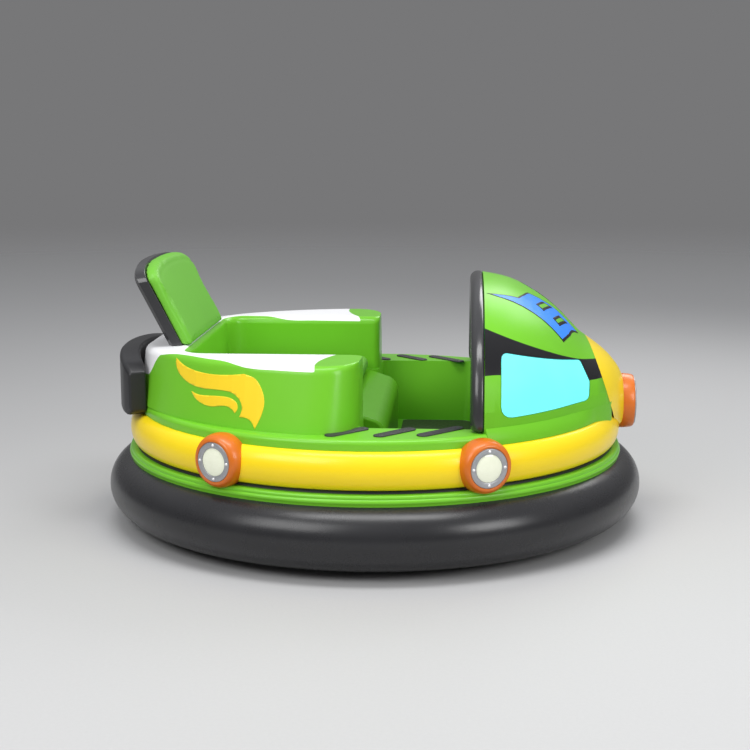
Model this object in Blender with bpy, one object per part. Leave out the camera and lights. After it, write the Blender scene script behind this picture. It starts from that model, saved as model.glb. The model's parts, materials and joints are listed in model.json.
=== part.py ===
"""Inflatable-ring bumper car: one driver, three wheels, +X forward, +Z up, metres.

The origin is on the ground under the axis of the rubber ring.
"""
import math

import bpy
import bmesh
from mathutils import Matrix, Vector

# ---- fits ----
SEAT_GAP = 0.0003        # left between faces that rest on each other
BORE_GAP = 0.0008        # between a turning piece and the pin or hub it turns on
RUN_GAP = 0.006          # between moving pieces and what stands beside them

# ---- rubber ring and the rims stacked on it ----
RING_DIAMETER = 1.90
TUBE_DIAMETER = 0.212
GROUND_GAP = 0.026
FLANGE_OVERHANG = 0.0345     # flange edge outside the tube's centre circle
FLANGE_HEIGHT = 0.036
GASKET_HEIGHT = 0.009
BELT_HEIGHT = 0.119
BELT_BULGE = 0.0335
BELT_WIDTH = 0.044           # from the belt's inner face to its lower edge
DECK_HEIGHT = 0.034          # deck edge above the belt
DECK_EDGE_RADIUS = 0.016
SHELL = 0.008                # fibreglass wall

# ---- driver's space ----
WELL_HALF_WIDTH = 0.65
WELL_FRONT = 0.50
WELL_DEPTH = 0.238           # deck top down to the tub floor
WELL_DRAFT = 0.03            # how far the tub floor is drawn in
MAT_THICKNESS = 0.004
SEAT_HALF_WIDTH = 0.43
SEAT_REAR = -0.58
SEAT_FRONT = 0.065
SEAT_NOSE_RADIUS = 0.06
CUSHION_HEIGHT = 0.06
ARM_FRONT = -0.01
ARM_HEIGHT = 0.205
ARM_SIDE_RADIUS = 0.772      # plan radius of the wall beside the seat
ARM_LEAN = 0.045
ARM_CORNER_LENGTH = 0.120    # the arm's outer front corner is a quarter oval in plan
ARM_CORNER_WIDTH = 0.150
ARM_INNER_CORNER = 0.03
SHOULDER = 0.028

# ---- back rest ----
BACK_RECLINE = math.radians(27.3)
BACK_FRONT = -0.60
BACK_HEIGHT = 0.322          # along the recline
BACK_HALF_WIDTH = 0.315
BACK_SHELL = 0.042
BACK_PAD = 0.032
BACK_CROWN = 0.070

# ---- tail bumper ----
TAIL_ANGLE = math.radians(25.0)
TAIL_THICKNESS = 0.070
TAIL_HEIGHT = 0.205

# ---- hood ----
ARCH_REAR = 0.339
ARCH_WIDTH = 0.045
ARCH_THICKNESS = 0.05
HOOD_TOP = 0.860
HOOD_WALL = 0.012
# fall of the hood's centre line, at shares of the way from the arch to the nose face
HOOD_LINE = ((0.248, 0.024), (0.405, 0.064), (0.564, 0.126), (0.725, 0.214), (0.804, 0.243), (0.899, 0.284))
NOSE_REACH = 0.041           # nose face outside the tube's centre circle
NOSE_FACE_RADIUS = 0.088
NOSE_FACE_Z = 0.405
NOSE_CAP_LENGTH = 0.133      # from the nose face back to the split, on the centre line
NOSE_SPLIT_Z = 0.636
NOSE_SPLIT_SLOPE = 0.34      # forward run of the split for each metre down
WINDOW_GAP = 0.002
WINDOW_REAR = 0.437
WINDOW_SILL = 0.042          # above the deck
WINDOW_LENGTH = 0.300
WINDOW_HEIGHT = 0.196

# ---- lamps ----
LAMP_DIAMETER = 0.176
LAMP_REACH = 0.049           # side lamps' front faces outside the tube's centre circle
LAMP_Z = 0.343
FRONT_LAMP_ANGLE = math.radians(26.5)
REAR_LAMP_ANGLE = math.radians(-30.5)
BEZEL_DIAMETER = 0.126
BEZEL_THICKNESS = 0.012
LENS_DIAMETER = 0.088
NOSE_LAMP_DIAMETER = 0.200
NOSE_LAMP_DEPTH = 0.036
NOSE_BEZEL_DIAMETER = 0.170
NOSE_LENS_DIAMETER = 0.120

# ---- running gear ----
WHEEL_DIAMETER = 0.180
WHEEL_WIDTH = 0.045
TREAD_RADIUS = 0.012
REAR_AXLE_X = -0.32
REAR_WHEEL_Y = 0.52
AXLE_DIAMETER = 0.020
FRONT_WHEEL_SETBACK = 0.173  # front axle behind the ring's inner wall
FRAME_RAIL = 0.046
FRAME_HALF_WIDTH = 0.34
FRAME_LONG_CROSS = (-0.50, 0.18)    # cross rails that reach the pan's shelf
FRAME_SHORT_CROSS = (-0.22, 0.40)   # cross rails between the long rails, clear below for a stand
BRACKET_PLATE = 0.012
BRACKET_LENGTH = 0.070
FORK_PLATE = 0.008
FORK_CROWN = 0.012
BRIDGE_PLATE = 0.010         # plate over the front wheel that the fork hangs from
BRIDGE_LENGTH = 0.080
STEER_PIN_DIAMETER = 0.030

# ---- steering wheel ----
STEER_WHEEL_X = 0.485
STEER_WHEEL_Z = 0.625
STEER_WHEEL_DIAMETER = 0.27
STEER_RIM_DIAMETER = 0.026
STEER_TILT = math.radians(35.0)
DASH_X = 0.60
DASH_THICKNESS = 0.010

# ---- levels and radii that follow ----
TUBE_RADIUS = TUBE_DIAMETER / 2
RING_RADIUS = RING_DIAMETER / 2 - TUBE_RADIUS
TUBE_Z = GROUND_GAP + TUBE_RADIUS
LAMP_FACE_RADIUS = RING_RADIUS + LAMP_REACH
NOSE_FACE = RING_RADIUS + NOSE_REACH
NOSE_SPLIT_X = NOSE_FACE - NOSE_CAP_LENGTH
FRONT_WHEEL_X = RING_RADIUS - TUBE_RADIUS - FRONT_WHEEL_SETBACK
PAN_SEAT = TUBE_RADIUS + SEAT_GAP
FLANGE_RADIUS = RING_RADIUS + FLANGE_OVERHANG
LIP_Z = TUBE_Z + math.sqrt(PAN_SEAT ** 2 - FLANGE_OVERHANG ** 2)
FLANGE_TOP = LIP_Z + FLANGE_HEIGHT
BELT_INNER = RING_RADIUS - BELT_WIDTH
GASKET_BOTTOM = FLANGE_TOP + SEAT_GAP
GASKET_RADIUS = FLANGE_RADIUS - 0.0265
GASKET_TOP = GASKET_BOTTOM + GASKET_HEIGHT
BELT_BOTTOM = GASKET_TOP + SEAT_GAP
BELT_TOP = BELT_BOTTOM + BELT_HEIGHT
BELT_TOP_RADIUS = RING_RADIUS - 0.011
DECK_BOTTOM = BELT_TOP + SEAT_GAP
DECK_TOP = DECK_BOTTOM + DECK_HEIGHT
DECK_RADIUS = BELT_TOP_RADIUS
TUB_FLOOR = DECK_TOP - WELL_DEPTH
ON_DECK = DECK_TOP + SEAT_GAP
ARM_TOP = DECK_TOP + ARM_HEIGHT
FRAME_TOP = TUB_FLOOR - SHELL - SEAT_GAP
FRAME_BOTTOM = FRAME_TOP - FRAME_RAIL
SHELF_TOP = FRAME_BOTTOM - SEAT_GAP
SHELF_INNER = RING_RADIUS - TUBE_RADIUS - 0.045
HOOD_FOOT_RADIUS = DECK_RADIUS - DECK_EDGE_RADIUS - 0.002
HOOD_REAR = ARCH_REAR + ARCH_WIDTH + SEAT_GAP
WHEEL_RADIUS = WHEEL_DIAMETER / 2
CROWN_BOTTOM = WHEEL_DIAMETER + RUN_GAP
CROWN_TOP = CROWN_BOTTOM + FORK_CROWN
BRIDGE_BOTTOM = CROWN_TOP + BORE_GAP
BRIDGE_TOP = BRIDGE_BOTTOM + BRIDGE_PLATE
RING_STEPS = 60
TUBE_FACET = 20              # degrees; pan and tube share their facets so that they nest

COLOURS = {
    "rubber": ((0.035, 0.035, 0.037), 0.45, 0.0),
    "green": ((0.19, 0.53, 0.04), 0.25, 0.0),
    "dark green": ((0.06, 0.14, 0.02), 0.7, 0.0),
    "yellow": ((1.0, 0.72, 0.04), 0.25, 0.0),
    "black": ((0.03, 0.03, 0.032), 0.3, 0.0),
    "orange": ((0.84, 0.20, 0.02), 0.35, 0.0),
    "grey": ((0.32, 0.33, 0.34), 0.35, 0.6),
    "lens": ((0.88, 0.92, 0.80), 0.15, 0.0),
    "cyan": ((0.20, 0.95, 1.0), 0.2, 0.0),
    "steel": ((0.10, 0.10, 0.11), 0.5, 0.8),
    "zinc": ((0.55, 0.56, 0.58), 0.35, 0.9),
    "battery": ((0.12, 0.13, 0.16), 0.6, 0.0),
}


# ---- drawing tools ----
def material(colour):
    """One Principled material for a named colour."""
    found = bpy.data.materials.get(colour)
    if found:
        return found
    tint, roughness, metal = COLOURS[colour]
    mat = bpy.data.materials.new(colour)
    mat.use_nodes = True
    shader = mat.node_tree.nodes["Principled BSDF"]
    shader.inputs["Base Color"].default_value = (*tint, 1.0)
    shader.inputs["Roughness"].default_value = roughness
    shader.inputs["Metallic"].default_value = metal
    return mat


def solid(name, bm, colour, origin=(0.0, 0.0, 0.0)):
    """Turns a closed bmesh in world metres into a named object with its own origin."""
    bmesh.ops.recalc_face_normals(bm, faces=bm.faces)
    bmesh.ops.translate(bm, verts=bm.verts, vec=-Vector(origin))
    mesh = bpy.data.meshes.new(name)
    bm.to_mesh(mesh)
    bm.free()
    mesh.materials.append(material(colour))
    obj = bpy.data.objects.new(name, mesh)
    obj.location = origin
    bpy.context.collection.objects.link(obj)
    return obj


def boolean(target, tool, operation):
    """Applies one exact boolean and removes the tool."""
    bpy.context.view_layer.update()
    modifier = target.modifiers.new("cut", "BOOLEAN")
    modifier.operation = operation
    modifier.solver = "EXACT"
    modifier.object = tool
    graph = bpy.context.evaluated_depsgraph_get()
    mesh = bpy.data.meshes.new_from_object(target.evaluated_get(graph))
    target.modifiers.clear()
    target.data = mesh
    bpy.data.objects.remove(tool, do_unlink=True)
    return target


def arc(cx, cy, radius, start, stop, steps):
    """Points on an arc, angles in degrees."""
    points = []
    for i in range(steps + 1):
        angle = math.radians(start + (stop - start) * i / steps)
        points.append((cx + radius * math.cos(angle), cy + radius * math.sin(angle)))
    return points


def mix(a, b, t):
    return a + (b - a) * t


def bridge(bm, rings, closed=False):
    """Joins rings of equal length with quads."""
    pairs = list(zip(rings, rings[1:]))
    if closed:
        pairs.append((rings[-1], rings[0]))
    for low, high in pairs:
        count = len(low)
        for i in range(count):
            j = (i + 1) % count
            corners = []
            for vert in (low[i], low[j], high[j], high[i]):
                if vert not in corners:
                    corners.append(vert)
            bm.faces.new(corners)


def loft(rings):
    """A closed skin through rings of points, capped at both ends."""
    bm = bmesh.new()
    made = [[bm.verts.new(point) for point in ring] for ring in rings]
    bridge(bm, made)
    bm.faces.new(made[0])
    bm.faces.new(list(reversed(made[-1])))
    return bm


def lathe(profile, steps=RING_STEPS):
    """Turns a closed outline of (radius, z) about the Z axis."""
    bm = bmesh.new()
    poles = {}
    for radius, z in profile:
        if radius == 0.0:
            poles[z] = bm.verts.new((0.0, 0.0, z))
    rings = []
    for k in range(steps):
        angle = 2 * math.pi * k / steps
        ring = []
        for radius, z in profile:
            if radius == 0.0:
                ring.append(poles[z])
            else:
                ring.append(bm.verts.new((radius * math.cos(angle), radius * math.sin(angle), z)))
        rings.append(ring)
    for low, high in zip(rings, rings[1:] + rings[:1]):
        for i in range(len(profile)):
            j = (i + 1) % len(profile)
            corners = []
            for vert in (low[i], low[j], high[j], high[i]):
                if vert not in corners:
                    corners.append(vert)
            if len(corners) > 2:
                bm.faces.new(corners)
    return bm


def turn(bm, origin, axis):
    """Moves a bmesh turned about Z so that its axis lies along another."""
    matrix = Vector((0.0, 0.0, 1.0)).rotation_difference(Vector(axis)).to_matrix().to_4x4()
    bmesh.ops.transform(bm, matrix=Matrix.Translation(Vector(origin)) @ matrix, verts=bm.verts)
    return bm


def rod(start, end, radius, steps=24):
    """A plain round bar between two points."""
    start = Vector(start)
    axis = Vector(end) - start
    bm = lathe([(0.0, 0.0), (radius, 0.0), (radius, axis.length), (0.0, axis.length)], steps)
    return turn(bm, start, axis)


def block(low, high, bevel=0.0):
    """A box between two corners, with its edges eased."""
    bm = bmesh.new()
    size = Vector(high) - Vector(low)
    middle = (Vector(high) + Vector(low)) / 2
    matrix = Matrix.Translation(middle) @ Matrix.Diagonal((*size, 1.0))
    bmesh.ops.create_cube(bm, size=1.0, matrix=matrix)
    if bevel:
        bmesh.ops.bevel(bm, geom=list(bm.edges), offset=bevel, segments=3, profile=0.5, affect="EDGES")
    return bm


def fillet(corners, steps=5):
    """A closed plan outline from (x, y, radius) corners, each one rounded."""
    points = []
    count = len(corners)
    for i, (x, y, radius) in enumerate(corners):
        here = Vector((x, y))
        back = (Vector(corners[i - 1][:2]) - here).normalized()
        ahead = (Vector(corners[(i + 1) % count][:2]) - here).normalized()
        half = back.angle(ahead) / 2
        reach = radius / math.tan(half)
        centre = here + (back + ahead).normalized() * (radius / math.sin(half))
        start = here + back * reach - centre
        stop = here + ahead * reach - centre
        sweep = start.angle_signed(stop)
        for k in range(steps + 1):
            turned = start.copy()
            turned.rotate(Matrix.Rotation(-sweep * k / steps, 2))
            points.append(centre + turned)
    return points


def at_height(outline, z):
    return [(point[0], point[1], z) for point in outline]


def both_sides(corners):
    """Mirrors plan corners given from front to rear on the left into a closed outline."""
    right = [(x, -y, radius) for x, y, radius in reversed(corners)]
    return corners + right


# ---- ring, pan, gasket and belt ----
def bumper_tube():
    section = arc(RING_RADIUS, TUBE_Z, TUBE_RADIUS, 0, 360, 360 // TUBE_FACET)[:-1]
    return solid("bumper_tube", lathe(section), "rubber")


def pan_arc(radius, angles):
    """Points about the tube's centre at the given angles in degrees."""
    return [point for angle in angles for point in arc(RING_RADIUS, TUBE_Z, radius, angle, angle, 1)[:1]]


def pan_profile():
    lip = math.degrees(math.acos((FLANGE_OVERHANG - 0.004) / PAN_SEAT))
    collar = math.degrees(math.acos((BELT_INNER - RING_RADIUS) / (PAN_SEAT + SHELL)))
    profile = [(FLANGE_RADIUS, LIP_Z + 0.004)]
    facets = [angle for angle in range(0, 181, TUBE_FACET) if angle > lip + 1]
    profile += pan_arc(PAN_SEAT, [lip] + facets)
    seat = RING_RADIUS - PAN_SEAT
    profile += [(seat, SHELF_TOP - SHELL), (SHELF_INNER, SHELF_TOP - SHELL), (SHELF_INNER, SHELF_TOP)]
    low = math.degrees(math.asin((SHELF_TOP - TUBE_Z) / (PAN_SEAT + SHELL)))
    outside = [angle for angle in reversed(facets) if collar + 2 < angle < 178 - low]
    profile += pan_arc(PAN_SEAT + SHELL, [180 - low] + outside + [collar])
    profile += [(BELT_INNER, FLANGE_TOP)]
    edge = FLANGE_RADIUS - 0.0205
    profile += [(edge, FLANGE_TOP)]
    roll = FLANGE_HEIGHT / 4
    profile += arc(edge, FLANGE_TOP - roll, roll, 80, -70, 3)
    profile += arc(FLANGE_RADIUS - 0.010, LIP_Z + 0.0145, 0.010, 75, 0, 3)
    return profile


def lower_pan():
    return solid("lower_pan", lathe(pan_profile()), "green")


def seam_gasket():
    profile = [(BELT_INNER, GASKET_BOTTOM), (GASKET_RADIUS, GASKET_BOTTOM)]
    profile += [(GASKET_RADIUS, GASKET_TOP), (BELT_INNER, GASKET_TOP)]
    return solid("seam_gasket", lathe(profile), "black")


def belt_profile(spare=0.0):
    """Half-round outline of the belt; spare draws it larger all round."""
    middle = (BELT_BOTTOM + BELT_TOP) / 2
    half = BELT_HEIGHT / 2 + spare
    profile = []
    steps = 10
    for i in range(steps + 1):
        t = i / steps
        angle = math.radians(-90 + 180 * t)
        base = mix(RING_RADIUS, BELT_TOP_RADIUS, t)
        profile.append((base + (BELT_BULGE + spare) * math.cos(angle), middle + half * math.sin(angle)))
    inner = BELT_INNER - spare
    return profile + [(inner, middle + half), (inner, middle - half)]


def belt():
    return solid("belt", lathe(belt_profile()), "yellow")


# ---- deck and tub ----
def well_outline(inset, grow=0.0):
    """Plan of the driver's well: wide for the feet, narrow for the seat."""
    wide = WELL_HALF_WIDTH - inset + grow
    seat = SEAT_HALF_WIDTH + 0.005 - inset / 4 + grow
    front = WELL_FRONT - inset + grow
    rear = SEAT_REAR - 0.002 + inset / 4 - grow
    step = ARM_FRONT + inset / 2 - grow
    corners = [
        (front, wide - 0.20, 0.06),
        (ARCH_REAR + 0.02 - inset / 2, wide, 0.05),
        (step, wide, 0.03 + grow),
        (step, seat, 0.03 - grow),
        (rear, seat, 0.010 + grow),
    ]
    return fillet(both_sides(corners), 4)


def well_space(grow, floor, top):
    """The well as a solid from floor to top, for the tub's outside or inside."""
    return loft([at_height(well_outline(WELL_DRAFT, grow), floor), at_height(well_outline(0.0, grow), top)])


def deck_profile():
    corner = DECK_RADIUS - DECK_EDGE_RADIUS
    profile = [(0.0, DECK_TOP), (corner, DECK_TOP)]
    profile += arc(corner, DECK_TOP - DECK_EDGE_RADIUS, DECK_EDGE_RADIUS, 75, 0, 5)
    profile += [(DECK_RADIUS, DECK_BOTTOM), (BELT_INNER, DECK_BOTTOM)]
    profile += [(BELT_INNER, DECK_TOP - SHELL), (0.0, DECK_TOP - SHELL)]
    return profile


def upper_body():
    deck = solid("upper_body", lathe(deck_profile()), "green")
    outside = solid("tub outside", well_space(SHELL, TUB_FLOOR - SHELL, DECK_TOP - SHELL / 2), "green")
    boolean(deck, outside, "UNION")
    slope = WELL_DRAFT / WELL_DEPTH
    above = 0.04
    low = at_height(well_outline(WELL_DRAFT), TUB_FLOOR)
    high = at_height(well_outline(-slope * above), DECK_TOP + above)
    return boolean(deck, solid("tub inside", loft([low, high]), "green"), "DIFFERENCE")


def floor_mat():
    rear = SEAT_FRONT + 0.012
    side = WELL_HALF_WIDTH - WELL_DRAFT - 0.02
    front = WELL_FRONT - WELL_DRAFT - 0.02
    corners = [
        (front, side - 0.20, 0.05),
        (ARCH_REAR - 0.005, side, 0.05),
        (rear, side, 0.02),
    ]
    outline = fillet(both_sides(corners), 4)
    low = TUB_FLOOR + SEAT_GAP
    mat = loft([at_height(outline, low), at_height(outline, low + MAT_THICKNESS)])
    return solid("floor_mat", mat, "dark green")


# ---- seat ----
def seat_base():
    """A moulded box with a rounded front, standing on the tub floor."""
    low = TUB_FLOOR + SEAT_GAP
    top = DECK_TOP
    rear = SEAT_REAR + WELL_DRAFT / 4 + 0.004
    side = [(rear, low), (SEAT_FRONT, low)]
    nose_top = top - 0.018
    side += arc(SEAT_FRONT - SEAT_NOSE_RADIUS, nose_top - SEAT_NOSE_RADIUS, SEAT_NOSE_RADIUS, 0, 80, 7)
    side += [(ARM_FRONT - 0.03, top), (rear, top)]
    half = SEAT_HALF_WIDTH - WELL_DRAFT / 4
    rings = []
    for y, ease in ((-half, 0.006), (-half + 0.006, 0.0), (half - 0.006, 0.0), (half, 0.006)):
        ring = []
        for x, z in side:
            ring.append((x - (ease if x > rear else -ease), y, z - (ease if z > low else 0.0)))
        rings.append(ring)
    return solid("seat_base", loft(rings), "green")


def seat_cushion():
    front = ARM_FRONT - 0.035
    rear = SEAT_REAR + 0.02
    half = SEAT_HALF_WIDTH - 0.02
    low = Vector((rear, -half, ON_DECK))
    high = Vector((front, half, ON_DECK + CUSHION_HEIGHT))
    return solid("seat_cushion", block(low, high, CUSHION_HEIGHT * 0.4), "green")


def back_outline(inset, lift):
    """Front view of the back rest, (across, up the recline), crowned on top."""
    half = BACK_HALF_WIDTH - inset
    top = BACK_HEIGHT + lift - inset
    spring = top - BACK_CROWN
    points = [(-half, -0.10), (half, -0.10)]
    steps = 20
    for i in range(steps + 1):
        angle = math.pi * i / steps
        across = math.copysign(abs(math.cos(angle)) ** 0.75, math.cos(angle))
        points.append((half * across, spring + BACK_CROWN * math.sin(angle) ** 0.9))
    return points


def back_slab(name, front, back, colour, ease_front, ease_back):
    """A slab of the back rest between two depths behind its front face."""
    level = ((front, ease_front), (front + ease_front, 0.0), (back - ease_back, 0.0), (back, ease_back))
    lean = Matrix.Rotation(-BACK_RECLINE, 4, "Y")
    foot = Vector((BACK_FRONT, 0.0, ARM_TOP))
    rings = []
    for depth, inset in level:
        lift = depth * math.tan(BACK_RECLINE) * 0.6
        ring = [foot + lean @ Vector((-depth, across, up)) for across, up in back_outline(inset, lift)]
        rings.append(ring)
    slab = solid(name, loft(rings), colour)
    floor = block((-2.0, -1.0, 0.0), (1.0, 1.0, ARM_TOP + SEAT_GAP))
    return boolean(slab, solid("below", floor, colour), "DIFFERENCE")


def seat_back():
    back_slab("seat_back_cushion", 0.0, BACK_PAD, "green", 0.010, 0.0015)
    start = BACK_PAD + SEAT_GAP
    back_slab("seat_back_shell", start, start + BACK_SHELL, "black", 0.0015, 0.012)


# ---- arms and rear deck ----
def wall_radius(angle):
    """Plan radius of the outer wall, angle measured from straight ahead."""
    t = (math.degrees(angle) - 92.0) / (156.0 - 92.0)
    t = min(max(t, 0.0), 1.0)
    return mix(ARM_SIDE_RADIUS, DECK_RADIUS, t ** 1.4)


def arm_stations():
    """(outer point, inner point, lean, height lost) along the left arm to the rear middle."""
    stations = []
    tuck = ARM_INNER_CORNER
    straight = ARM_FRONT - ARM_CORNER_LENGTH
    outer_y = math.sqrt(ARM_SIDE_RADIUS ** 2 - straight ** 2)
    inner_y = SEAT_HALF_WIDTH + 0.012
    for turn_angle in (88, 72, 56, 38, 20, 0):
        a = math.radians(turn_angle)
        x = straight + ARM_CORNER_LENGTH * math.sin(a)
        outer = (x, outer_y - ARM_CORNER_WIDTH * (1 - math.cos(a)))
        inner = (ARM_FRONT - tuck + tuck * math.sin(a), inner_y + tuck - tuck * math.cos(a))
        stations.append((outer, inner, 1.0, 0.0))
    rear_x = SEAT_REAR - 0.018
    inner_radius = 0.07
    inside = []
    runs = 9
    for i in range(1, runs + 1):
        inside.append((mix(ARM_FRONT - tuck, rear_x + inner_radius, i / runs), inner_y))
    for a in (18, 36, 54, 72, 90):
        a = math.radians(a)
        x = rear_x + inner_radius - inner_radius * math.sin(a)
        inside.append((x, inner_y - inner_radius + inner_radius * math.cos(a)))
    for i in range(1, runs + 1):
        inside.append((rear_x, mix(inner_y - inner_radius, 0.0, i / runs)))
    first = math.degrees(math.atan2(outer_y, straight))
    for i, inner in enumerate(inside):
        t = (i + 1) / len(inside)
        angle = math.radians(mix(first, 180.0, t ** 0.95))
        radius = wall_radius(angle)
        outer = (radius * math.cos(angle), radius * math.sin(angle))
        slope = max(0.0, (t - 0.6) / 0.4)
        stations.append((outer, inner, mix(1.0, 0.3, t), 0.030 * slope))
    return stations


def arm_section(outer, inner, lean, drop):
    """Closed upright section of the arm between an outer and an inner foot point."""
    outer = Vector((*outer, 0.0))
    inner = Vector((*inner, 0.0))
    inward = (inner - outer).normalized()
    width = (inner - outer).length
    top = ARM_TOP
    wall = top - drop - SHOULDER
    offset = ARM_LEAN * lean
    points = [(0.0, ON_DECK), (offset * 0.5, mix(ON_DECK, wall, 0.5)), (offset, wall)]
    points += [(x, z) for x, z in arc(offset + SHOULDER, wall, SHOULDER, 157, 90, 3)]
    far = width - SHOULDER - 0.004
    points += [(mix(offset + SHOULDER, far, 0.5), top - drop * 0.4)]
    points += [(x, z) for x, z in arc(far, top - SHOULDER, SHOULDER, 90, 0, 4)]
    points += [(width, ON_DECK)]
    return [outer + inward * across + Vector((0.0, 0.0, z)) for across, z in points]


def rear_body():
    left = [arm_section(*station) for station in arm_stations()]
    right = [[Vector((p.x, -p.y, p.z)) for p in ring] for ring in reversed(left[:-1])]
    return solid("rear_body", loft(left + right), "green")


def tail_band():
    """Rubber pad wrapped round the tail, standing just clear of the belt's top edge."""
    low = BELT_TOP + 0.002
    inner = DECK_RADIUS + 0.0005
    steps = 24
    rings = []
    for i in range(steps + 1):
        t = 2 * i / steps - 1
        angle = math.pi + TAIL_ANGLE * t
        end = max(0.0, (abs(t) - 0.88) / 0.12)
        high = low + TAIL_HEIGHT - 0.035 * abs(t) ** 3 - 0.018 * end ** 2
        bottom = low + 0.018 * end ** 2
        thick = TAIL_THICKNESS - 0.012 * end ** 2
        ease = 0.016
        section = [(inner, bottom)]
        section += arc(inner + thick - ease, bottom + ease, ease, -90, 0, 3)
        section += arc(inner + thick - ease, high - ease, ease, 0, 90, 3)
        section += [(inner, high)]
        rings.append([(r * math.cos(angle), r * math.sin(angle), z) for r, z in section])
    return solid("tail_band", loft(rings), "black")


# ---- hood, arch, windows and nose ----
def spline(points, x):
    """Smooth height at x through points (x, value), flat outside their ends."""
    if x <= points[0][0]:
        return points[0][1]
    if x >= points[-1][0]:
        return points[-1][1]
    slopes = []
    for i in range(len(points)):
        a = points[max(i - 1, 0)]
        b = points[min(i + 1, len(points) - 1)]
        slopes.append((b[1] - a[1]) / (b[0] - a[0]))
    for i in range(len(points) - 1):
        (x0, y0), (x1, y1) = points[i], points[i + 1]
        if x <= x1:
            span = x1 - x0
            t = (x - x0) / span
            rise = y0 * (2 * t ** 3 - 3 * t ** 2 + 1) + y1 * (3 * t ** 2 - 2 * t ** 3)
            bend = slopes[i] * (t ** 3 - 2 * t ** 2 + t) + slopes[i + 1] * (t ** 3 - t ** 2)
            return rise + bend * span


def hood_half_width(x):
    """Plan half width of the hood's foot: the deck circle, then drawn in to the nose."""
    blend = HOOD_FOOT_RADIUS * 0.81
    if x <= blend:
        return math.sqrt(HOOD_FOOT_RADIUS ** 2 - x ** 2)
    start = math.sqrt(HOOD_FOOT_RADIUS ** 2 - blend ** 2)
    span = NOSE_FACE - blend
    t = (x - blend) / span
    value = start * (2 * t ** 3 - 3 * t ** 2 + 1) + NOSE_FACE_RADIUS * (3 * t ** 2 - 2 * t ** 3)
    return value - blend / start * span * (t ** 3 - 2 * t ** 2 + t) - 3.2 * span * (t ** 3 - t ** 2)


def hood_top(x):
    """Height of the hood's centre line."""
    peak = HOOD_TOP
    face = NOSE_FACE_Z + NOSE_FACE_RADIUS
    line = [(ARCH_REAR, peak)]
    for share, drop in HOOD_LINE:
        line.append((mix(ARCH_REAR, NOSE_FACE, share), peak - drop))
    line.append((mix(ARCH_REAR, NOSE_FACE, 0.967), mix(line[-1][1], face, 0.55)))
    line.append((NOSE_FACE, face))
    return spline(line, x)


def hood_section(x, inset=0.0, foot=None, steps=28):
    """Upright section of the hood at x, open ground line at the foot."""
    base = ON_DECK if foot is None else foot
    half = hood_half_width(x) - inset
    rise = hood_top(x) - inset - DECK_TOP
    power = 2 / 2.35
    points = []
    for i in range(steps + 1):
        angle = math.pi * i / steps
        across = math.copysign(abs(math.cos(angle)) ** power, math.cos(angle))
        up = DECK_TOP + rise * math.sin(angle) ** power
        points.append((x, half * across, max(up, base)))
    return points


def split_plane(offset, ahead):
    """A large wedge ahead of, or behind, the slanted split between hood and nose."""
    low_z = 0.0
    high_z = 1.2
    low_x = NOSE_SPLIT_X + (NOSE_SPLIT_Z - low_z) * NOSE_SPLIT_SLOPE + offset
    high_x = NOSE_SPLIT_X + (NOSE_SPLIT_Z - high_z) * NOSE_SPLIT_SLOPE + offset
    end = 2.0 if ahead else -2.0
    rings = []
    for y in (-1.5, 1.5):
        rings.append([(low_x, y, low_z), (high_x, y, high_z), (end, y, high_z), (end, y, low_z)])
    return solid("split", loft(rings), "green")


def stations_between(start, stop, count):
    return [mix(start, stop, i / count) for i in range(count + 1)]


def window_outline(spare):
    """Side window seen from the side, (x, z, corner radius)."""
    rear = WINDOW_REAR - spare
    front = WINDOW_REAR + WINDOW_LENGTH + spare
    low = DECK_TOP + WINDOW_SILL - spare
    high = DECK_TOP + WINDOW_SILL + WINDOW_HEIGHT + spare
    corners = [
        (rear, high, 0.014 + spare),
        (rear, low, 0.035 + spare),
        (front - 0.004, low + 0.006, 0.016 + spare),
        (front, low + spare + 0.062, 0.02 + spare),
        (front - 0.032, high - 0.066, 0.02 + spare),
    ]
    return fillet(corners, 4)


def window_prism(side, spare):
    rings = []
    for y in (0.16 * side, 1.0 * side):
        rings.append([(x, y, z) for x, z in window_outline(spare)])
    return solid("window cutter", loft(rings), "cyan")


def hood_skin(name, colour):
    """The hood's hollow skin, closed by nothing at the rear and foot."""
    stop = NOSE_SPLIT_X + (NOSE_SPLIT_Z - ON_DECK) * NOSE_SPLIT_SLOPE + 0.01
    rings = [hood_section(x) for x in stations_between(HOOD_REAR, stop, 14)]
    outer = solid(name, loft(rings), colour)
    first = HOOD_REAR - 0.02
    rings = [hood_section(x, HOOD_WALL, ON_DECK - 0.02) for x in stations_between(first, stop, 14)]
    boolean(outer, solid("inside", loft(rings), colour), "DIFFERENCE")
    return boolean(outer, split_plane(-SEAT_GAP, True), "DIFFERENCE")


def hood_and_windows():
    hood = hood_skin("hood_shell", "green")
    for side, label in ((1, "left"), (-1, "right")):
        pane = hood_skin("window_" + label, "cyan")
        boolean(pane, window_prism(side, 0.0), "INTERSECT")
        boolean(hood, window_prism(side, WINDOW_GAP), "DIFFERENCE")


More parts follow.
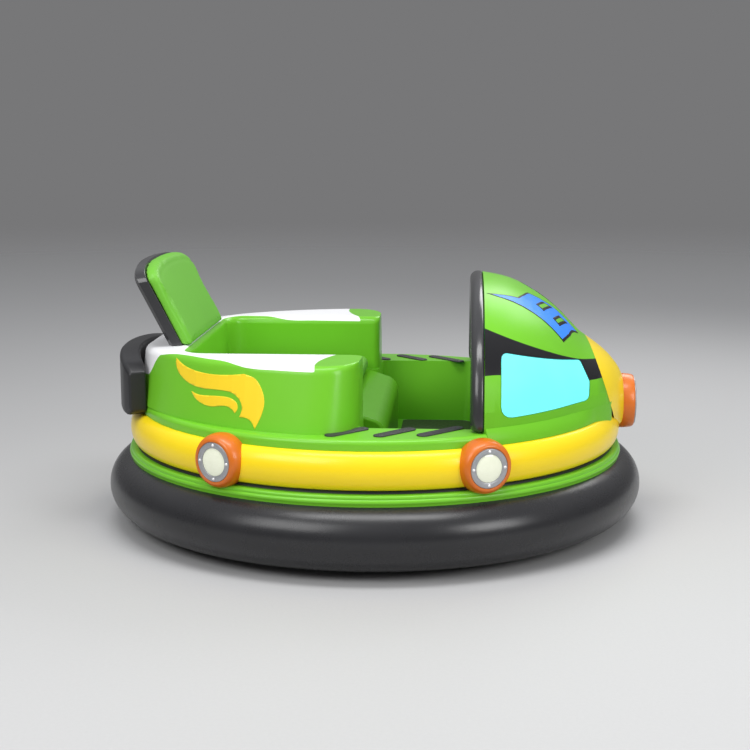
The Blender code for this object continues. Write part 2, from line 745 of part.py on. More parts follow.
def hood_arch():
    """Rounded frame round the hood's open rear, standing on the deck."""
    front = HOOD_REAR - SEAT_GAP
    shape = (
        (ARCH_REAR, 0.016, ARCH_THICKNESS - 0.010),
        (ARCH_REAR + 0.010, 0.002, ARCH_THICKNESS),
        (ARCH_REAR + 0.024, -0.004, ARCH_THICKNESS),
        (front - 0.008, -0.003, ARCH_THICKNESS),
        (front, 0.001, ARCH_THICKNESS - 0.006),
    )
    foot = hood_section(HOOD_REAR, 0.0, ON_DECK, 40)
    outer_rings = []
    inner_rings = []
    half = hood_half_width(HOOD_REAR)
    rise = hood_top(HOOD_REAR) - DECK_TOP
    for x, drop, depth in shape:
        outer = []
        inner = []
        for _, y, z in foot:
            grow_y = (half - drop) / half
            grow_z = (rise - drop) / rise
            thin_y = (half - depth) / half
            thin_z = (rise - depth) / rise
            outer.append((x, y * grow_y, DECK_TOP + (z - DECK_TOP) * grow_z))
            inner.append((x, y * thin_y, DECK_TOP + (z - DECK_TOP) * thin_z))
        outer[0] = (x, outer[0][1], ON_DECK)
        outer[-1] = (x, outer[-1][1], ON_DECK)
        inner[0] = (x, inner[0][1], ON_DECK)
        inner[-1] = (x, inner[-1][1], ON_DECK)
        outer_rings.append(outer)
        inner_rings.append(inner)
    sections = []
    for i in range(len(foot)):
        around = [ring[i] for ring in outer_rings] + [ring[i] for ring in reversed(inner_rings)]
        sections.append(around)
    return solid("hood_arch", loft(sections), "black")


def nose_section(x, inset=0.0, steps=18):
    """Full oval section of the nose: the hood's section above, drawn down below."""
    start = NOSE_SPLIT_X - 0.032
    t = min(max((x - start) / (NOSE_FACE - start), 0.0), 1.0)
    middle = mix(DECK_TOP, NOSE_FACE_Z, t ** 3)
    half = hood_half_width(x) - inset
    rise = hood_top(x) - middle - inset
    sink = NOSE_FACE_RADIUS + 0.03 * (1 - t) - inset
    power = mix(2 / 2.35, 1.0, t ** 2)
    points = []
    for i in range(2 * steps):
        angle = math.pi * i / steps
        across = math.copysign(abs(math.cos(angle)) ** power, math.cos(angle))
        up = math.copysign(abs(math.sin(angle)) ** power, math.sin(angle))
        height = rise if up > 0 else sink
        points.append((x, half * across, middle + height * up))
    return points


def rim_stack(spare):
    """Everything of the stacked rims, drawn larger, for what wraps round them."""
    tall = [(BELT_INNER - 0.03, LIP_Z - 0.02)]
    tall += [(FLANGE_RADIUS + spare, LIP_Z - 0.02), (FLANGE_RADIUS + spare, FLANGE_TOP - 0.014)]
    tall += [(FLANGE_RADIUS - 0.011 + spare, GASKET_BOTTOM), (GASKET_RADIUS + spare, GASKET_BOTTOM)]
    tall += [(GASKET_RADIUS + spare, GASKET_TOP)]
    tall += belt_profile(spare)[1:-2]
    tall += [(DECK_RADIUS + spare, BELT_TOP + spare), (DECK_RADIUS + spare, DECK_TOP + spare)]
    tall += [(BELT_INNER - 0.03, DECK_TOP + spare)]
    return solid("rims", lathe(tall, RING_STEPS), "yellow")


def nose_cone():
    start = NOSE_SPLIT_X - 0.03
    near = stations_between(start, NOSE_FACE - 0.03, 7)
    close = stations_between(NOSE_FACE - 0.03, NOSE_FACE, 4)[1:]
    rings = [nose_section(x) for x in near + close]
    nose = solid("nose_cone", loft(rings), "yellow")
    boolean(nose, split_plane(SEAT_GAP, False), "DIFFERENCE")
    rings = [nose_section(x, HOOD_WALL) for x in stations_between(start - 0.01, NOSE_FACE - 0.016, 8)]
    boolean(nose, solid("inside", loft(rings), "yellow"), "DIFFERENCE")
    return boolean(nose, rim_stack(0.0012), "DIFFERENCE")


# ---- lamps ----
def lamp_barrel(radius, depth, flats=10, crown=0.006):
    """Lamp body turned about Z with flats round it; its front face is at z = 0."""
    flat_steps = flats * 2
    rings = []
    levels = ((-depth, 1.0), (-depth * 0.35, 1.0), (-crown * 1.6, 0.985), (-crown * 0.4, 0.955), (0.0, 0.90))
    for z, scale in levels:
        ring = []
        for k in range(flat_steps):
            angle = 2 * math.pi * k / flat_steps
            within = (angle + math.pi / flats) % (2 * math.pi / flats) - math.pi / flats
            shape = mix(1.0, math.cos(math.pi / flats) / math.cos(within), 0.6)
            reach = radius * scale * shape
            ring.append((reach * math.cos(angle), reach * math.sin(angle), z))
        rings.append(ring)
    return loft(rings)


def bezel_ring(outer, inner, thickness, start):
    ease = thickness * 0.3
    profile = [(inner, start), (outer, start), (outer, start + thickness - ease)]
    profile += [(outer - ease, start + thickness), (inner + ease, start + thickness)]
    profile += [(inner, start + thickness - ease)]
    return lathe(profile, 24)


def lens_dome(radius, start, rim, dome):
    """A shallow domed lens."""
    profile = [(0.0, start), (radius, start), (radius, start + rim)]
    for i in range(1, 4):
        angle = math.radians(30 * i)
        across = radius * math.cos(angle) if i < 3 else 0.0
        profile.append((across, start + rim + dome * math.sin(angle)))
    return lathe(profile, 24)


def lamp_set(label, centre, axis, diameter, depth, bezel, lens, wraps):
    """Housing, bezel and lens on one axis; the front face is at centre."""
    housing = solid(label + "_housing", turn(lamp_barrel(diameter / 2, depth), centre, axis), "orange")
    if wraps:
        boolean(housing, rim_stack(0.0012), "DIFFERENCE")
        keep = LAMP_FACE_RADIUS - depth
        core = lathe([(0.0, 0.0), (keep, 0.0), (keep, 1.0), (0.0, 1.0)])
        boolean(housing, solid("core", core, "orange"), "DIFFERENCE")
    ring = bezel_ring(bezel / 2, lens / 2 + SEAT_GAP, BEZEL_THICKNESS, SEAT_GAP)
    solid(label + "_bezel", turn(ring, centre, axis), "grey")
    dome = lens_dome(lens / 2, SEAT_GAP, BEZEL_THICKNESS * 0.5, 0.010)
    solid(label + "_lens", turn(dome, centre, axis), "lens")


def lamps():
    for end, angle in (("front", FRONT_LAMP_ANGLE), ("rear", REAR_LAMP_ANGLE)):
        for side, label in ((1, "left"), (-1, "right")):
            axis = Vector((math.sin(angle), side * math.cos(angle), 0.0))
            centre = axis * LAMP_FACE_RADIUS + Vector((0.0, 0.0, LAMP_Z))
            name = end + "_" + label + "_lamp"
            depth = LAMP_FACE_RADIUS - BELT_INNER - 0.012
            lamp_set(name, centre, axis, LAMP_DIAMETER, depth, BEZEL_DIAMETER, LENS_DIAMETER, True)
    centre = Vector((NOSE_FACE + SEAT_GAP + NOSE_LAMP_DEPTH, 0.0, NOSE_FACE_Z))
    axis = Vector((1.0, 0.0, 0.0))
    sizes = (NOSE_LAMP_DIAMETER, NOSE_LAMP_DEPTH, NOSE_BEZEL_DIAMETER, NOSE_LENS_DIAMETER)
    lamp_set("nose_lamp", centre, axis, *sizes, False)


# ---- dash and steering wheel ----
def steering_axis():
    """Along the column, from the dash up and back to the driver."""
    return Vector((-math.cos(STEER_TILT), 0.0, math.sin(STEER_TILT)))


def steering_hub():
    return Vector((STEER_WHEEL_X, 0.0, STEER_WHEEL_Z))


def dashboard():
    """Bulkhead across the inside of the hood."""
    inset = HOOD_WALL + 0.0012
    rings = [hood_section(x, inset) for x in (DASH_X, DASH_X + DASH_THICKNESS)]
    return solid("dashboard", loft(rings), "black")


def steering_column():
    axis = steering_axis()
    reach = (DASH_X - SEAT_GAP - STEER_WHEEL_X) / math.cos(STEER_TILT)
    foot = steering_hub() - axis * (reach + 0.05)
    top = steering_hub() - axis * (0.014 + BORE_GAP)
    column = solid("steering_column", rod(foot, top, 0.022, 32), "steel")
    ahead = block((DASH_X - SEAT_GAP, -0.2, 0.0), (DASH_X + 1.0, 0.2, 1.0))
    return boolean(column, solid("ahead", ahead, "steel"), "DIFFERENCE")


def steering_wheel():
    """Rim, three spokes and hub as one piece, origin at the hub."""
    radius = (STEER_WHEEL_DIAMETER - STEER_RIM_DIAMETER) / 2
    rim = lathe(arc(radius, 0.0, STEER_RIM_DIAMETER / 2, 0, 360, 8)[:-1], 32)
    wheel = solid("steering_wheel", rim, "black")
    hub = [(0.0, -0.014), (0.034, -0.014), (0.038, -0.008), (0.036, 0.010), (0.028, 0.016), (0.0, 0.018)]
    boolean(wheel, solid("hub", lathe(hub, 20), "black"), "UNION")
    for k in range(3):
        angle = math.radians(120 * k + 180)
        spoke = block((0.02, -0.011, -0.005), (radius, 0.011, 0.005), 0.003)
        spin = Matrix.Rotation(angle, 3, "Z")
        bmesh.ops.rotate(spoke, verts=spoke.verts, cent=(0.0, 0.0, 0.0), matrix=spin)
        boolean(wheel, solid("spoke", spoke, "black"), "UNION")
    bm = bmesh.new()
    bm.from_mesh(wheel.data)
    bpy.data.objects.remove(wheel, do_unlink=True)
    turn(bm, steering_hub(), steering_axis())
    return solid("steering_wheel", bm, "black", steering_hub())


# ---- chassis and wheels ----
def frame_rail(low, high):
    return solid("rail", block(low, high), "steel")


def chassis_frame():
    """Welded rails whose ends rest on the pan's shelf, with brackets for axle and fork."""
    rail = FRAME_RAIL
    half = FRAME_HALF_WIDTH
    reach = RING_RADIUS - TUBE_RADIUS - 0.030
    along = math.sqrt(reach ** 2 - (half + rail / 2) ** 2)
    low = FRAME_BOTTOM
    top = FRAME_TOP
    left = block((-along, half - rail / 2, low), (along, half + rail / 2, top))
    frame = solid("chassis_frame", left, "steel")
    boolean(frame, frame_rail((-along, -half - rail / 2, low), (along, -half + rail / 2, top)), "UNION")
    for x in FRAME_LONG_CROSS + FRAME_SHORT_CROSS:
        side = half
        if x in FRAME_LONG_CROSS:
            side = math.sqrt(reach ** 2 - (abs(x) + rail / 2) ** 2)
        cross = frame_rail((x - rail / 2, -side, low + 0.002), (x + rail / 2, side, top - 0.002))
        boolean(frame, cross, "UNION")
    rear = FRONT_WHEEL_X - BRIDGE_LENGTH / 2
    front = FRONT_WHEEL_X + BRIDGE_LENGTH / 2
    side = half + rail / 2
    boolean(frame, frame_rail((rear, -side, BRIDGE_BOTTOM), (front, side, BRIDGE_TOP)), "UNION")
    for y in (-half, half):
        inner = y - rail / 2 + 0.004
        outer = y + rail / 2 - 0.004
        post = frame_rail((rear, inner, top - 0.01), (front, outer, BRIDGE_TOP - 0.002))
        boolean(frame, post, "UNION")
    pin = STEER_PIN_DIAMETER / 2 + BORE_GAP
    hole = rod((FRONT_WHEEL_X, 0, BRIDGE_BOTTOM - 0.05), (FRONT_WHEEL_X, 0, BRIDGE_TOP + 0.05), pin)
    boolean(frame, solid("hole", hole, "steel"), "DIFFERENCE")
    for side in (-1, 1):
        y = side * half
        plate = frame_rail(
            (REAR_AXLE_X - BRACKET_LENGTH / 2, y - BRACKET_PLATE / 2, WHEEL_RADIUS - 0.025),
            (REAR_AXLE_X + BRACKET_LENGTH / 2, y + BRACKET_PLATE / 2, low + 0.01),
        )
        boolean(frame, plate, "UNION")
    radius = AXLE_DIAMETER / 2 + SEAT_GAP
    bore = rod((REAR_AXLE_X, -1, WHEEL_RADIUS), (REAR_AXLE_X, 1, WHEEL_RADIUS), radius)
    return boolean(frame, solid("bore", bore, "steel"), "DIFFERENCE")


def rear_axle():
    """Dead axle through the frame's brackets, with a collar inside each wheel."""
    end = REAR_WHEEL_Y + WHEEL_WIDTH / 2 + 0.012
    collar = REAR_WHEEL_Y - WHEEL_WIDTH / 2 - BORE_GAP
    radius = AXLE_DIAMETER / 2
    shape = [(0.0, -end), (radius, -end), (radius, -collar), (radius * 1.6, -collar)]
    shape += [(radius * 1.6, -collar + 0.012), (radius, -collar + 0.012)]
    shape += [(r, -z) for r, z in reversed(shape)]
    axle = turn(lathe(shape, 20), (REAR_AXLE_X, 0.0, WHEEL_RADIUS), (0.0, 1.0, 0.0))
    return solid("rear_axle", axle, "zinc")


def wheel_profile(bore):
    """Half outline of a solid-tyred wheel, (radius, across)."""
    half = WHEEL_WIDTH / 2
    tread = arc(WHEEL_RADIUS - TREAD_RADIUS, half - TREAD_RADIUS, TREAD_RADIUS, 0, 90, 3)
    side = [(WHEEL_RADIUS * 0.66, half), (WHEEL_RADIUS * 0.62, half * 0.45)]
    side += [(WHEEL_RADIUS * 0.34, half * 0.45), (WHEEL_RADIUS * 0.30, half), (bore, half)]
    upper = tread + side
    lower = [(r, -z) for r, z in reversed(upper)]
    return upper + lower


def road_wheel(name, centre):
    bore = AXLE_DIAMETER / 2 + BORE_GAP
    return solid(name, turn(lathe(wheel_profile(bore), 24), centre, (0.0, 1.0, 0.0)), "rubber", centre)


def front_fork():
    """Swivel fork hung from the frame's bridge plate, with the wheel's axle."""
    gap = WHEEL_WIDTH / 2 + RUN_GAP
    plate = FORK_PLATE
    axle_z = WHEEL_RADIUS
    x = FRONT_WHEEL_X
    crown = gap + plate
    pin = STEER_PIN_DIAMETER / 2
    pin_top = BRIDGE_TOP + 0.004
    turned = [(0.0, CROWN_BOTTOM), (crown, CROWN_BOTTOM), (crown, CROWN_TOP), (pin, CROWN_TOP)]
    turned += [(pin, pin_top), (0.0, pin_top)]
    fork = solid("front_fork", turn(lathe(turned, 24), (x, 0.0, 0.0), (0.0, 0.0, 1.0)), "zinc")
    for side in (-1, 1):
        inner = side * gap
        outer = side * (gap + plate - 0.001)
        low = (x - 0.018, min(inner, outer), axle_z - 0.018)
        high = (x + 0.018, max(inner, outer), CROWN_TOP - 0.004)
        boolean(fork, frame_rail(low, high), "UNION")
    axle = rod((x, -gap - plate - 0.004, axle_z), (x, gap + plate + 0.004, axle_z), AXLE_DIAMETER / 2, 20)
    boolean(fork, solid("axle", axle, "zinc"), "UNION")
    bm = bmesh.new()
    bm.from_mesh(fork.data)
    bpy.data.objects.remove(fork, do_unlink=True)
    return solid("front_fork", bm, "zinc", (x, 0.0, axle_z))


def power_blocks():
    """Battery and motor as plain masses between the rails, hung from the frame."""
    inside = FRAME_HALF_WIDTH - FRAME_RAIL / 2 - 0.02
    top = FRAME_BOTTOM + 0.002 - SEAT_GAP
    low = 0.062
    solid("battery_pack", block((-0.16, -inside, low), (0.20, inside, top), 0.006), "battery")
    solid("drive_motor", block((-0.53, -0.12, low), (-0.39, 0.12, top), 0.012), "steel")


def build():
    for obj in list(bpy.data.objects):
        bpy.data.objects.remove(obj, do_unlink=True)
    bumper_tube()
    lower_pan()
    seam_gasket()
    belt()
    upper_body()
    floor_mat()
    seat_base()
    seat_cushion()
    seat_back()
    rear_body()
    tail_band()
    hood_and_windows()
    hood_arch()
    nose_cone()
    lamps()
    dashboard()
    steering_column()
    steering_wheel()
    chassis_frame()
    rear_axle()
    for side, label in ((1, "left"), (-1, "right")):
        road_wheel("rear_wheel_" + label, (REAR_AXLE_X, side * REAR_WHEEL_Y, WHEEL_RADIUS))
    front_fork()
    road_wheel("front_wheel", (FRONT_WHEEL_X, 0.0, WHEEL_RADIUS))
    power_blocks()


build()
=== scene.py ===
import json
import math
import bpy
import bmesh
from mathutils import Matrix, Vector
from mathutils.bvhtree import BVHTree


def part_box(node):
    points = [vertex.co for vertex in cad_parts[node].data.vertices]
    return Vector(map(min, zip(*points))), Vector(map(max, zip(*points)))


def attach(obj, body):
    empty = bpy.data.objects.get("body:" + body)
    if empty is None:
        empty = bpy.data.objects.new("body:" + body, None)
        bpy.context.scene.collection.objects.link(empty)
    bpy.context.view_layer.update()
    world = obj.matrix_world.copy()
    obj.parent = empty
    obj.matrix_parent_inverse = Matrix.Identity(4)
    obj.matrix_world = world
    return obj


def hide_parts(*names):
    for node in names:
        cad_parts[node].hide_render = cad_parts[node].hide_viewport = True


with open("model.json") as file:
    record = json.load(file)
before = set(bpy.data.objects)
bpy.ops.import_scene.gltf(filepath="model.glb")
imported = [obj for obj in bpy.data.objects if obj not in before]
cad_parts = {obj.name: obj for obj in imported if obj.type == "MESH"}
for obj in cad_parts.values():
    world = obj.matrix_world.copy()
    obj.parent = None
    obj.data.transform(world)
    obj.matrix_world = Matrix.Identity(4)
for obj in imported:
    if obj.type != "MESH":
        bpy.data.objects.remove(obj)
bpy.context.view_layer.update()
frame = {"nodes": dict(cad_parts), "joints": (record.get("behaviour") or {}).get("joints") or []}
nodes = frame["nodes"]


# ---- Camera ----
# The camera stands five metres off the car's right side and a little above the seat back,
# with a long lens, so that the ring shows as a flat oval.
lens = bpy.data.cameras.new("camera")
lens.lens = 67.54
lens.sensor_width = 36.0
camera = bpy.data.objects.new("camera", lens)
camera.location = (0.3140, -4.9901, 1.376)
camera.rotation_euler = (math.radians(90.0 - 10.09), 0.0, math.radians(3.6))
bpy.context.scene.collection.objects.link(camera)
bpy.context.scene.camera = camera
bpy.context.scene.view_settings.view_transform = "Standard"


# ---- Floor and light ----
# A plain pale floor fades into a grey room, which is lighter above. Four large soft lamps hang
# over the near side, to its left, to its right, and behind the car.
class Wire:
    """One value inside a finish, so that sums on it can be written as expressions."""

    def __init__(self, finish, socket):
        self.finish = finish
        self.socket = socket

    def sum(self, operation, first, second=0.0):
        return self.finish.node("ShaderNodeMath", {"operation": operation}, [first, second])

    def __add__(self, other):
        return self.sum("ADD", self, other)

    def __radd__(self, other):
        return self.sum("ADD", other, self)

    def __sub__(self, other):
        return self.sum("SUBTRACT", self, other)

    def __rsub__(self, other):
        return self.sum("SUBTRACT", other, self)

    def __mul__(self, other):
        return self.sum("MULTIPLY", self, other)

    def __rmul__(self, other):
        return self.sum("MULTIPLY", other, self)

    def __truediv__(self, other):
        return self.sum("DIVIDE", self, other)

    def __rtruediv__(self, other):
        return self.sum("DIVIDE", other, self)

    def __abs__(self):
        return self.sum("ABSOLUTE", self)

    def past(self, edge, soft=0.0012):
        """0 below the edge and 1 above it, with a soft step between."""
        kind = {"interpolation_type": "SMOOTHSTEP"}
        return self.finish.node("ShaderNodeMapRange", kind, [self - edge, -soft, soft, 0.0, 1.0])


class Finish:
    """A material on the place coordinates, built node by node."""

    def __init__(self, name):
        self.material = bpy.data.materials.new(name)
        self.material.use_nodes = True
        self.tree = self.material.node_tree
        self.shader = self.tree.nodes["Principled BSDF"]
        self.place = self.node("ShaderNodeTexCoord", {}, [], "Object")

    def node(self, kind, settings, values=(), out=0):
        """Adds one node; settings are set first, values are numbers or links for its sockets."""
        made = self.tree.nodes.new(kind)
        for key, value in settings.items():
            if key == "points":
                line = made.mapping.curves[0]
                for x, y in value[1:-1]:
                    line.points.new(x, y)
                for point, (x, y) in zip((line.points[0], line.points[-1]), (value[0], value[-1])):
                    point.location = (x, y)
                made.mapping.update()
            else:
                setattr(made, key, value)
        pairs = values.items() if isinstance(values, dict) else enumerate(values)
        for slot, value in pairs:
            if isinstance(value, Wire):
                self.tree.links.new(value.socket, made.inputs[slot])
            else:
                made.inputs[slot].default_value = value
        return Wire(self, made.outputs[out])

    def along(self, axis):
        return self.node("ShaderNodeSeparateXYZ", {}, [self.place], axis)

    def noise(self, scale, detail=2.0):
        values = {"Vector": self.place, "Scale": scale, "Detail": detail}
        return self.node("ShaderNodeTexNoise", {}, values)

    def blend(self, factor, first, second):
        return self.node("ShaderNodeMix", {"data_type": "RGBA"}, {0: factor, 6: first, 7: second}, 2)

    def give(self, **sockets):
        """Sets the shader's own sockets; an underscore stands for a space."""
        for name, value in sockets.items():
            socket = self.shader.inputs[name.replace("_", " ")]
            if isinstance(value, Wire):
                self.tree.links.new(value.socket, socket)
            else:
                socket.default_value = value

    def bump(self, height, distance, strength=0.4):
        values = {"Strength": strength, "Distance": distance, "Height": height}
        self.give(Normal=self.node("ShaderNodeBump", {}, values))


def tint(red, green, blue):
    """A screen colour from 0 to 255 as the shader wants it."""
    linear = [((c / 255 + 0.055) / 1.055) ** 2.4 if c > 10 else c / 3295 for c in (red, green, blue)]
    return (*linear, 1.0)


def scaled(colour, share):
    """A colour made lighter or darker."""
    return tuple(min(1.0, c * share) for c in colour)


pale = Finish("pale_floor")
away = pale.node("ShaderNodeVectorMath", {"operation": "LENGTH"}, [pale.place], "Value")
near = pale.node("ShaderNodeMapRange", {"interpolation_type": "SMOOTHSTEP"}, [away, 4.0, 16.0, 1.0, 0.0])
speckle = pale.noise(90.0, 2.0)
pale.give(Base_Color=pale.blend(speckle, tint(184, 184, 184), tint(190, 190, 190)))
pale.give(Roughness=0.62 + speckle * 0.08, Alpha=near)
sheet = bmesh.new()
bmesh.ops.create_circle(sheet, cap_ends=True, segments=96, radius=16.0)
floor_mesh = bpy.data.meshes.new("floor")
sheet.to_mesh(floor_mesh)
sheet.free()
floor_mesh.materials.append(pale.material)
floor = bpy.data.objects.new("floor", floor_mesh)
bpy.context.scene.collection.objects.link(floor)

room = bpy.data.worlds.new("room")
room.use_nodes = True
sky = room.node_tree.nodes
aloft = sky.new("ShaderNodeSeparateXYZ")
room.node_tree.links.new(sky.new("ShaderNodeTexCoord").outputs["Generated"], aloft.inputs[0])
rise = sky.new("ShaderNodeMapRange")
rise.interpolation_type = "SMOOTHSTEP"
for slot, value in enumerate((0.10, 0.75, 0.0, 1.0), 1):
    rise.inputs[slot].default_value = value
room.node_tree.links.new(aloft.outputs["Z"], rise.inputs[0])
shade = sky.new("ShaderNodeMix")
shade.data_type = "RGBA"
shade.inputs[6].default_value = tint(119, 119, 120)
shade.inputs[7].default_value = tint(196, 197, 200)
room.node_tree.links.new(rise.outputs[0], shade.inputs[0])
room.node_tree.links.new(shade.outputs[2], sky["Background"].inputs["Color"])
bpy.context.scene.world = room
for place, aim, width, depth, watts in (
    ((0.1, -1.3, 4.4), (0.1, -0.5, 0.2), 3.6, 1.3, 115.0),
    ((-2.2, -3.4, 3.0), (0.0, 0.0, 0.35), 2.6, 2.0, 76.0),
    ((3.4, -2.9, 2.1), (0.4, 0.0, 0.4), 1.8, 1.6, 62.0),
    ((1.8, 3.2, 3.4), (0.0, 0.0, 0.4), 2.6, 1.8, 60.0),
):
    soft = bpy.data.lights.new("soft_lamp", "AREA")
    soft.shape = "RECTANGLE"
    soft.size = width
    soft.size_y = depth
    soft.energy = watts
    lamp = bpy.data.objects.new("soft_lamp", soft)
    lamp.location = place
    lamp.rotation_euler = (Vector(aim) - Vector(place)).to_track_quat("-Z", "Y").to_euler()
    bpy.context.scene.collection.objects.link(lamp)


# ---- Rubber ring ----
# An inflated tube of black rubber, moulded in one piece and held up under the pan's rim.
# It is a circle swept once round the car.
def finished(name, bm, sharp=35.0):
    """Turns a mesh in progress into a piece: doubles merged, faces outward, soft edges round."""
    bmesh.ops.remove_doubles(bm, verts=bm.verts, dist=1e-5)
    bmesh.ops.recalc_face_normals(bm, faces=bm.faces)
    mesh = bpy.data.meshes.new(name)
    bm.to_mesh(mesh)
    bm.free()
    mesh.shade_smooth()
    mesh.set_sharp_from_angle(angle=math.radians(sharp))
    piece = bpy.data.objects.new(name, mesh)
    bpy.context.scene.collection.objects.link(piece)
    return piece


def dress(piece, finish, body, slot, *stands_for):
    """Paints a piece, fixes it to a body, and hides the parts that it stands for."""
    if finish.material.name not in piece.data.materials:
        piece.data.materials.append(finish.material)
    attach(piece, body)
    if stands_for:
        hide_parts(*stands_for)
    return piece


def rubber(name, colour, grain, rough=0.42):
    """Moulded black rubber: fine grain, cloudy wear and a dull shine."""
    finish = Finish(name)
    cloudy = finish.noise(5.0, 4.0)
    fine = finish.noise(grain, 3.0)
    finish.give(Base_Color=finish.blend(cloudy, colour, scaled(colour, 1.5)))
    finish.give(Roughness=rough - 0.07 + cloudy * 0.14 + fine * 0.05, Specular_IOR_Level=0.45)
    finish.bump(fine, 0.0004, 0.35)
    return finish


low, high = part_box("bumper_tube")
tube_radius = (high.z - low.z) / 2 / math.cos(math.radians(10.0))
tube_centre = Vector((high.x - tube_radius, 0.0, (high.z + low.z) / 2))
bm = bmesh.new()
upright = Matrix.Translation(tube_centre) @ Matrix.Rotation(math.pi / 2, 4, "X")
bmesh.ops.create_circle(bm, segments=56, radius=tube_radius, matrix=upright)
bmesh.ops.spin(bm, geom=bm.verts[:] + bm.edges[:], angle=math.tau, steps=192, axis=(0, 0, 1),
               cent=(0, 0, 0), use_merge=True)
ring_rubber = rubber("ring_rubber", tint(33, 33, 35), 420.0, 0.25)
dress(finished("rubber_ring", bm), ring_rubber, "car", "ring_rubber", "bumper_tube")


# ---- Lower pan ----
# The green fibreglass pan sits on the ring like a saddle. A rolled flange shows between
# the ring and the belt, and a shelf inside carries the steel frame.
def turned(name, outline, steps=192, place=None):
    """Sweeps a closed outline of (radius, height) once round the upright axis."""
    bm = bmesh.new()
    corners = [bm.verts.new((r, 0.0, z)) for r, z in outline]
    for first, second in zip(corners, corners[1:] + corners[:1]):
        bm.edges.new((first, second))
    bmesh.ops.spin(bm, geom=bm.verts[:] + bm.edges[:], angle=math.tau, steps=steps, axis=(0, 0, 1),
                   cent=(0, 0, 0), use_merge=True)
    if place:
        bmesh.ops.transform(bm, matrix=place, verts=bm.verts)
    return finished(name, bm)


def bow(x, z, radius, start, stop, steps, squeeze=1.0):
    """Points round a bow in the outline, degrees anticlockwise from outward."""
    turn = [math.radians(start + (stop - start) * i / steps) for i in range(steps + 1)]
    return [(x + radius * squeeze * math.cos(a), z + radius * math.sin(a)) for a in turn]


def gel_coat(name, colour, rough=0.27, shine=0.32, coat=0.12):
    """Fibreglass gel coat with a faint cloud in its colour and a fine orange peel."""
    finish = Finish(name)
    cloudy = finish.noise(3.5, 3.0)
    peel = finish.noise(160.0, 1.0)
    finish.colour = finish.blend(cloudy, scaled(colour, 0.93), scaled(colour, 1.05))
    finish.give(Roughness=rough + finish.noise(28.0, 4.0) * 0.07, Coat_Weight=coat, Coat_Roughness=0.08)
    finish.give(Specular_IOR_Level=shine, Base_Color=finish.colour)
    finish.bump(peel, 0.0003, 0.10)
    return finish


green_shade = tint(116, 196, 44)
green_coat = gel_coat("green_gel_coat", green_shade)
low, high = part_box("lower_pan")
rim = high.x
top = high.z
ring = tube_centre.x
mid = tube_centre.z
seat = tube_radius + 0.0004
shell = 0.008
shelf = 0.693
outline = bow(ring, mid, seat, 73.0, 178.0, 22)
outline += [(ring - seat, low.z), (shelf, low.z), (shelf, low.z + shell)]
outline += bow(ring, mid, seat + shell, 175.0, 115.0, 14)
outline += [(ring - 0.044, top)]
outline += bow(rim - 0.0135, top - 0.009, 0.009, 90.0, -50.0, 10)
outline += bow(rim - 0.010, mid + 0.1155, 0.010, 75.0, -45.0, 8)
dress(turned("lower_pan_skin", outline), green_coat, "car", "fibreglass_green", "lower_pan")


# ---- Seam gasket ----
# A black rubber strip closes the joint between the flange and the belt.
# It is a thin flat ring with a groove in its edge.
low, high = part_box("seam_gasket")
inner = ring - 0.044
thick = high.z - low.z
outline = [(inner, low.z), (high.x - 0.001, low.z), (high.x, low.z + 0.001)]
outline += [(high.x - 0.0015, low.z + thick * 0.4), (high.x - 0.0015, low.z + thick * 0.6)]
outline += [(high.x, high.z - 0.001), (high.x - 0.001, high.z), (inner, high.z)]
gasket_rubber = rubber("gasket_rubber", tint(30, 30, 31), 300.0, 0.5)
dress(turned("gasket_strip", outline), gasket_rubber, "car", "black_gasket", "seam_gasket")


# ---- Yellow belt ----
# A half-round fibreglass belt runs all round between the gasket and the deck.
# It is moulded in yellow gel coat, and its top edge draws in a little.
low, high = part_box("belt")
half = (high.z - low.z) / 2
middle = (high.z + low.z) / 2
bulge = 0.0335
draw_in = 0.011
outline = []
for i in range(33):
    t = i / 32
    angle = math.radians(-90.0 + 180.0 * t)
    outline.append((ring - draw_in * t + bulge * math.cos(angle), middle + half * math.sin(angle)))
outline += [(inner, high.z), (inner, low.z)]
yellow_shade = tint(255, 220, 28)
yellow_coat = gel_coat("yellow_gel_coat", yellow_shade, 0.26)
dress(turned("belt_skin", outline), yellow_coat, "car", "fibreglass_yellow", "belt")


# ---- Deck and footwell ----
# The upper moulding is one green shell: a flat deck with a rounded edge, and a tub pressed
# down into it for the driver's feet and the seat.
def welded(name, node, sharp=32.0, ease=0.0, join=False, levels=0):
    """A merged copy of a CAD part, its soft edges shaded round and its sharp ones eased."""
    bm = bmesh.new()
    bm.from_mesh(nodes[node].data)
    bmesh.ops.remove_doubles(bm, verts=bm.verts, dist=1e-5)
    bmesh.ops.dissolve_limit(bm, angle_limit=math.radians(0.3), verts=bm.verts, edges=bm.edges)
    if join:
        bmesh.ops.triangulate(bm, faces=[f for f in bm.faces if len(f.verts) > 4])
        bmesh.ops.join_triangles(bm, faces=bm.faces, angle_face_threshold=0.6,
                                 angle_shape_threshold=1.2)
    mesh = bpy.data.meshes.new(name)
    bm.to_mesh(mesh)
    bm.free()
    mesh.shade_smooth()
    mesh.set_sharp_from_angle(angle=math.radians(sharp))
    piece = bpy.data.objects.new(name, mesh)
    bpy.context.scene.collection.objects.link(piece)
    if ease:
        soft = piece.modifiers.new("eased_edges", "BEVEL")
        soft.width = ease
        soft.segments = 3
        soft.limit_method = "ANGLE"
        soft.angle_limit = math.radians(sharp)
    if levels:
        smooth = piece.modifiers.new("rounded", "SUBSURF")
        smooth.levels = levels
        smooth.render_levels = levels
    else:
        even = piece.modifiers.new("even_shading", "WEIGHTED_NORMAL")
        even.keep_sharp = True
    return piece


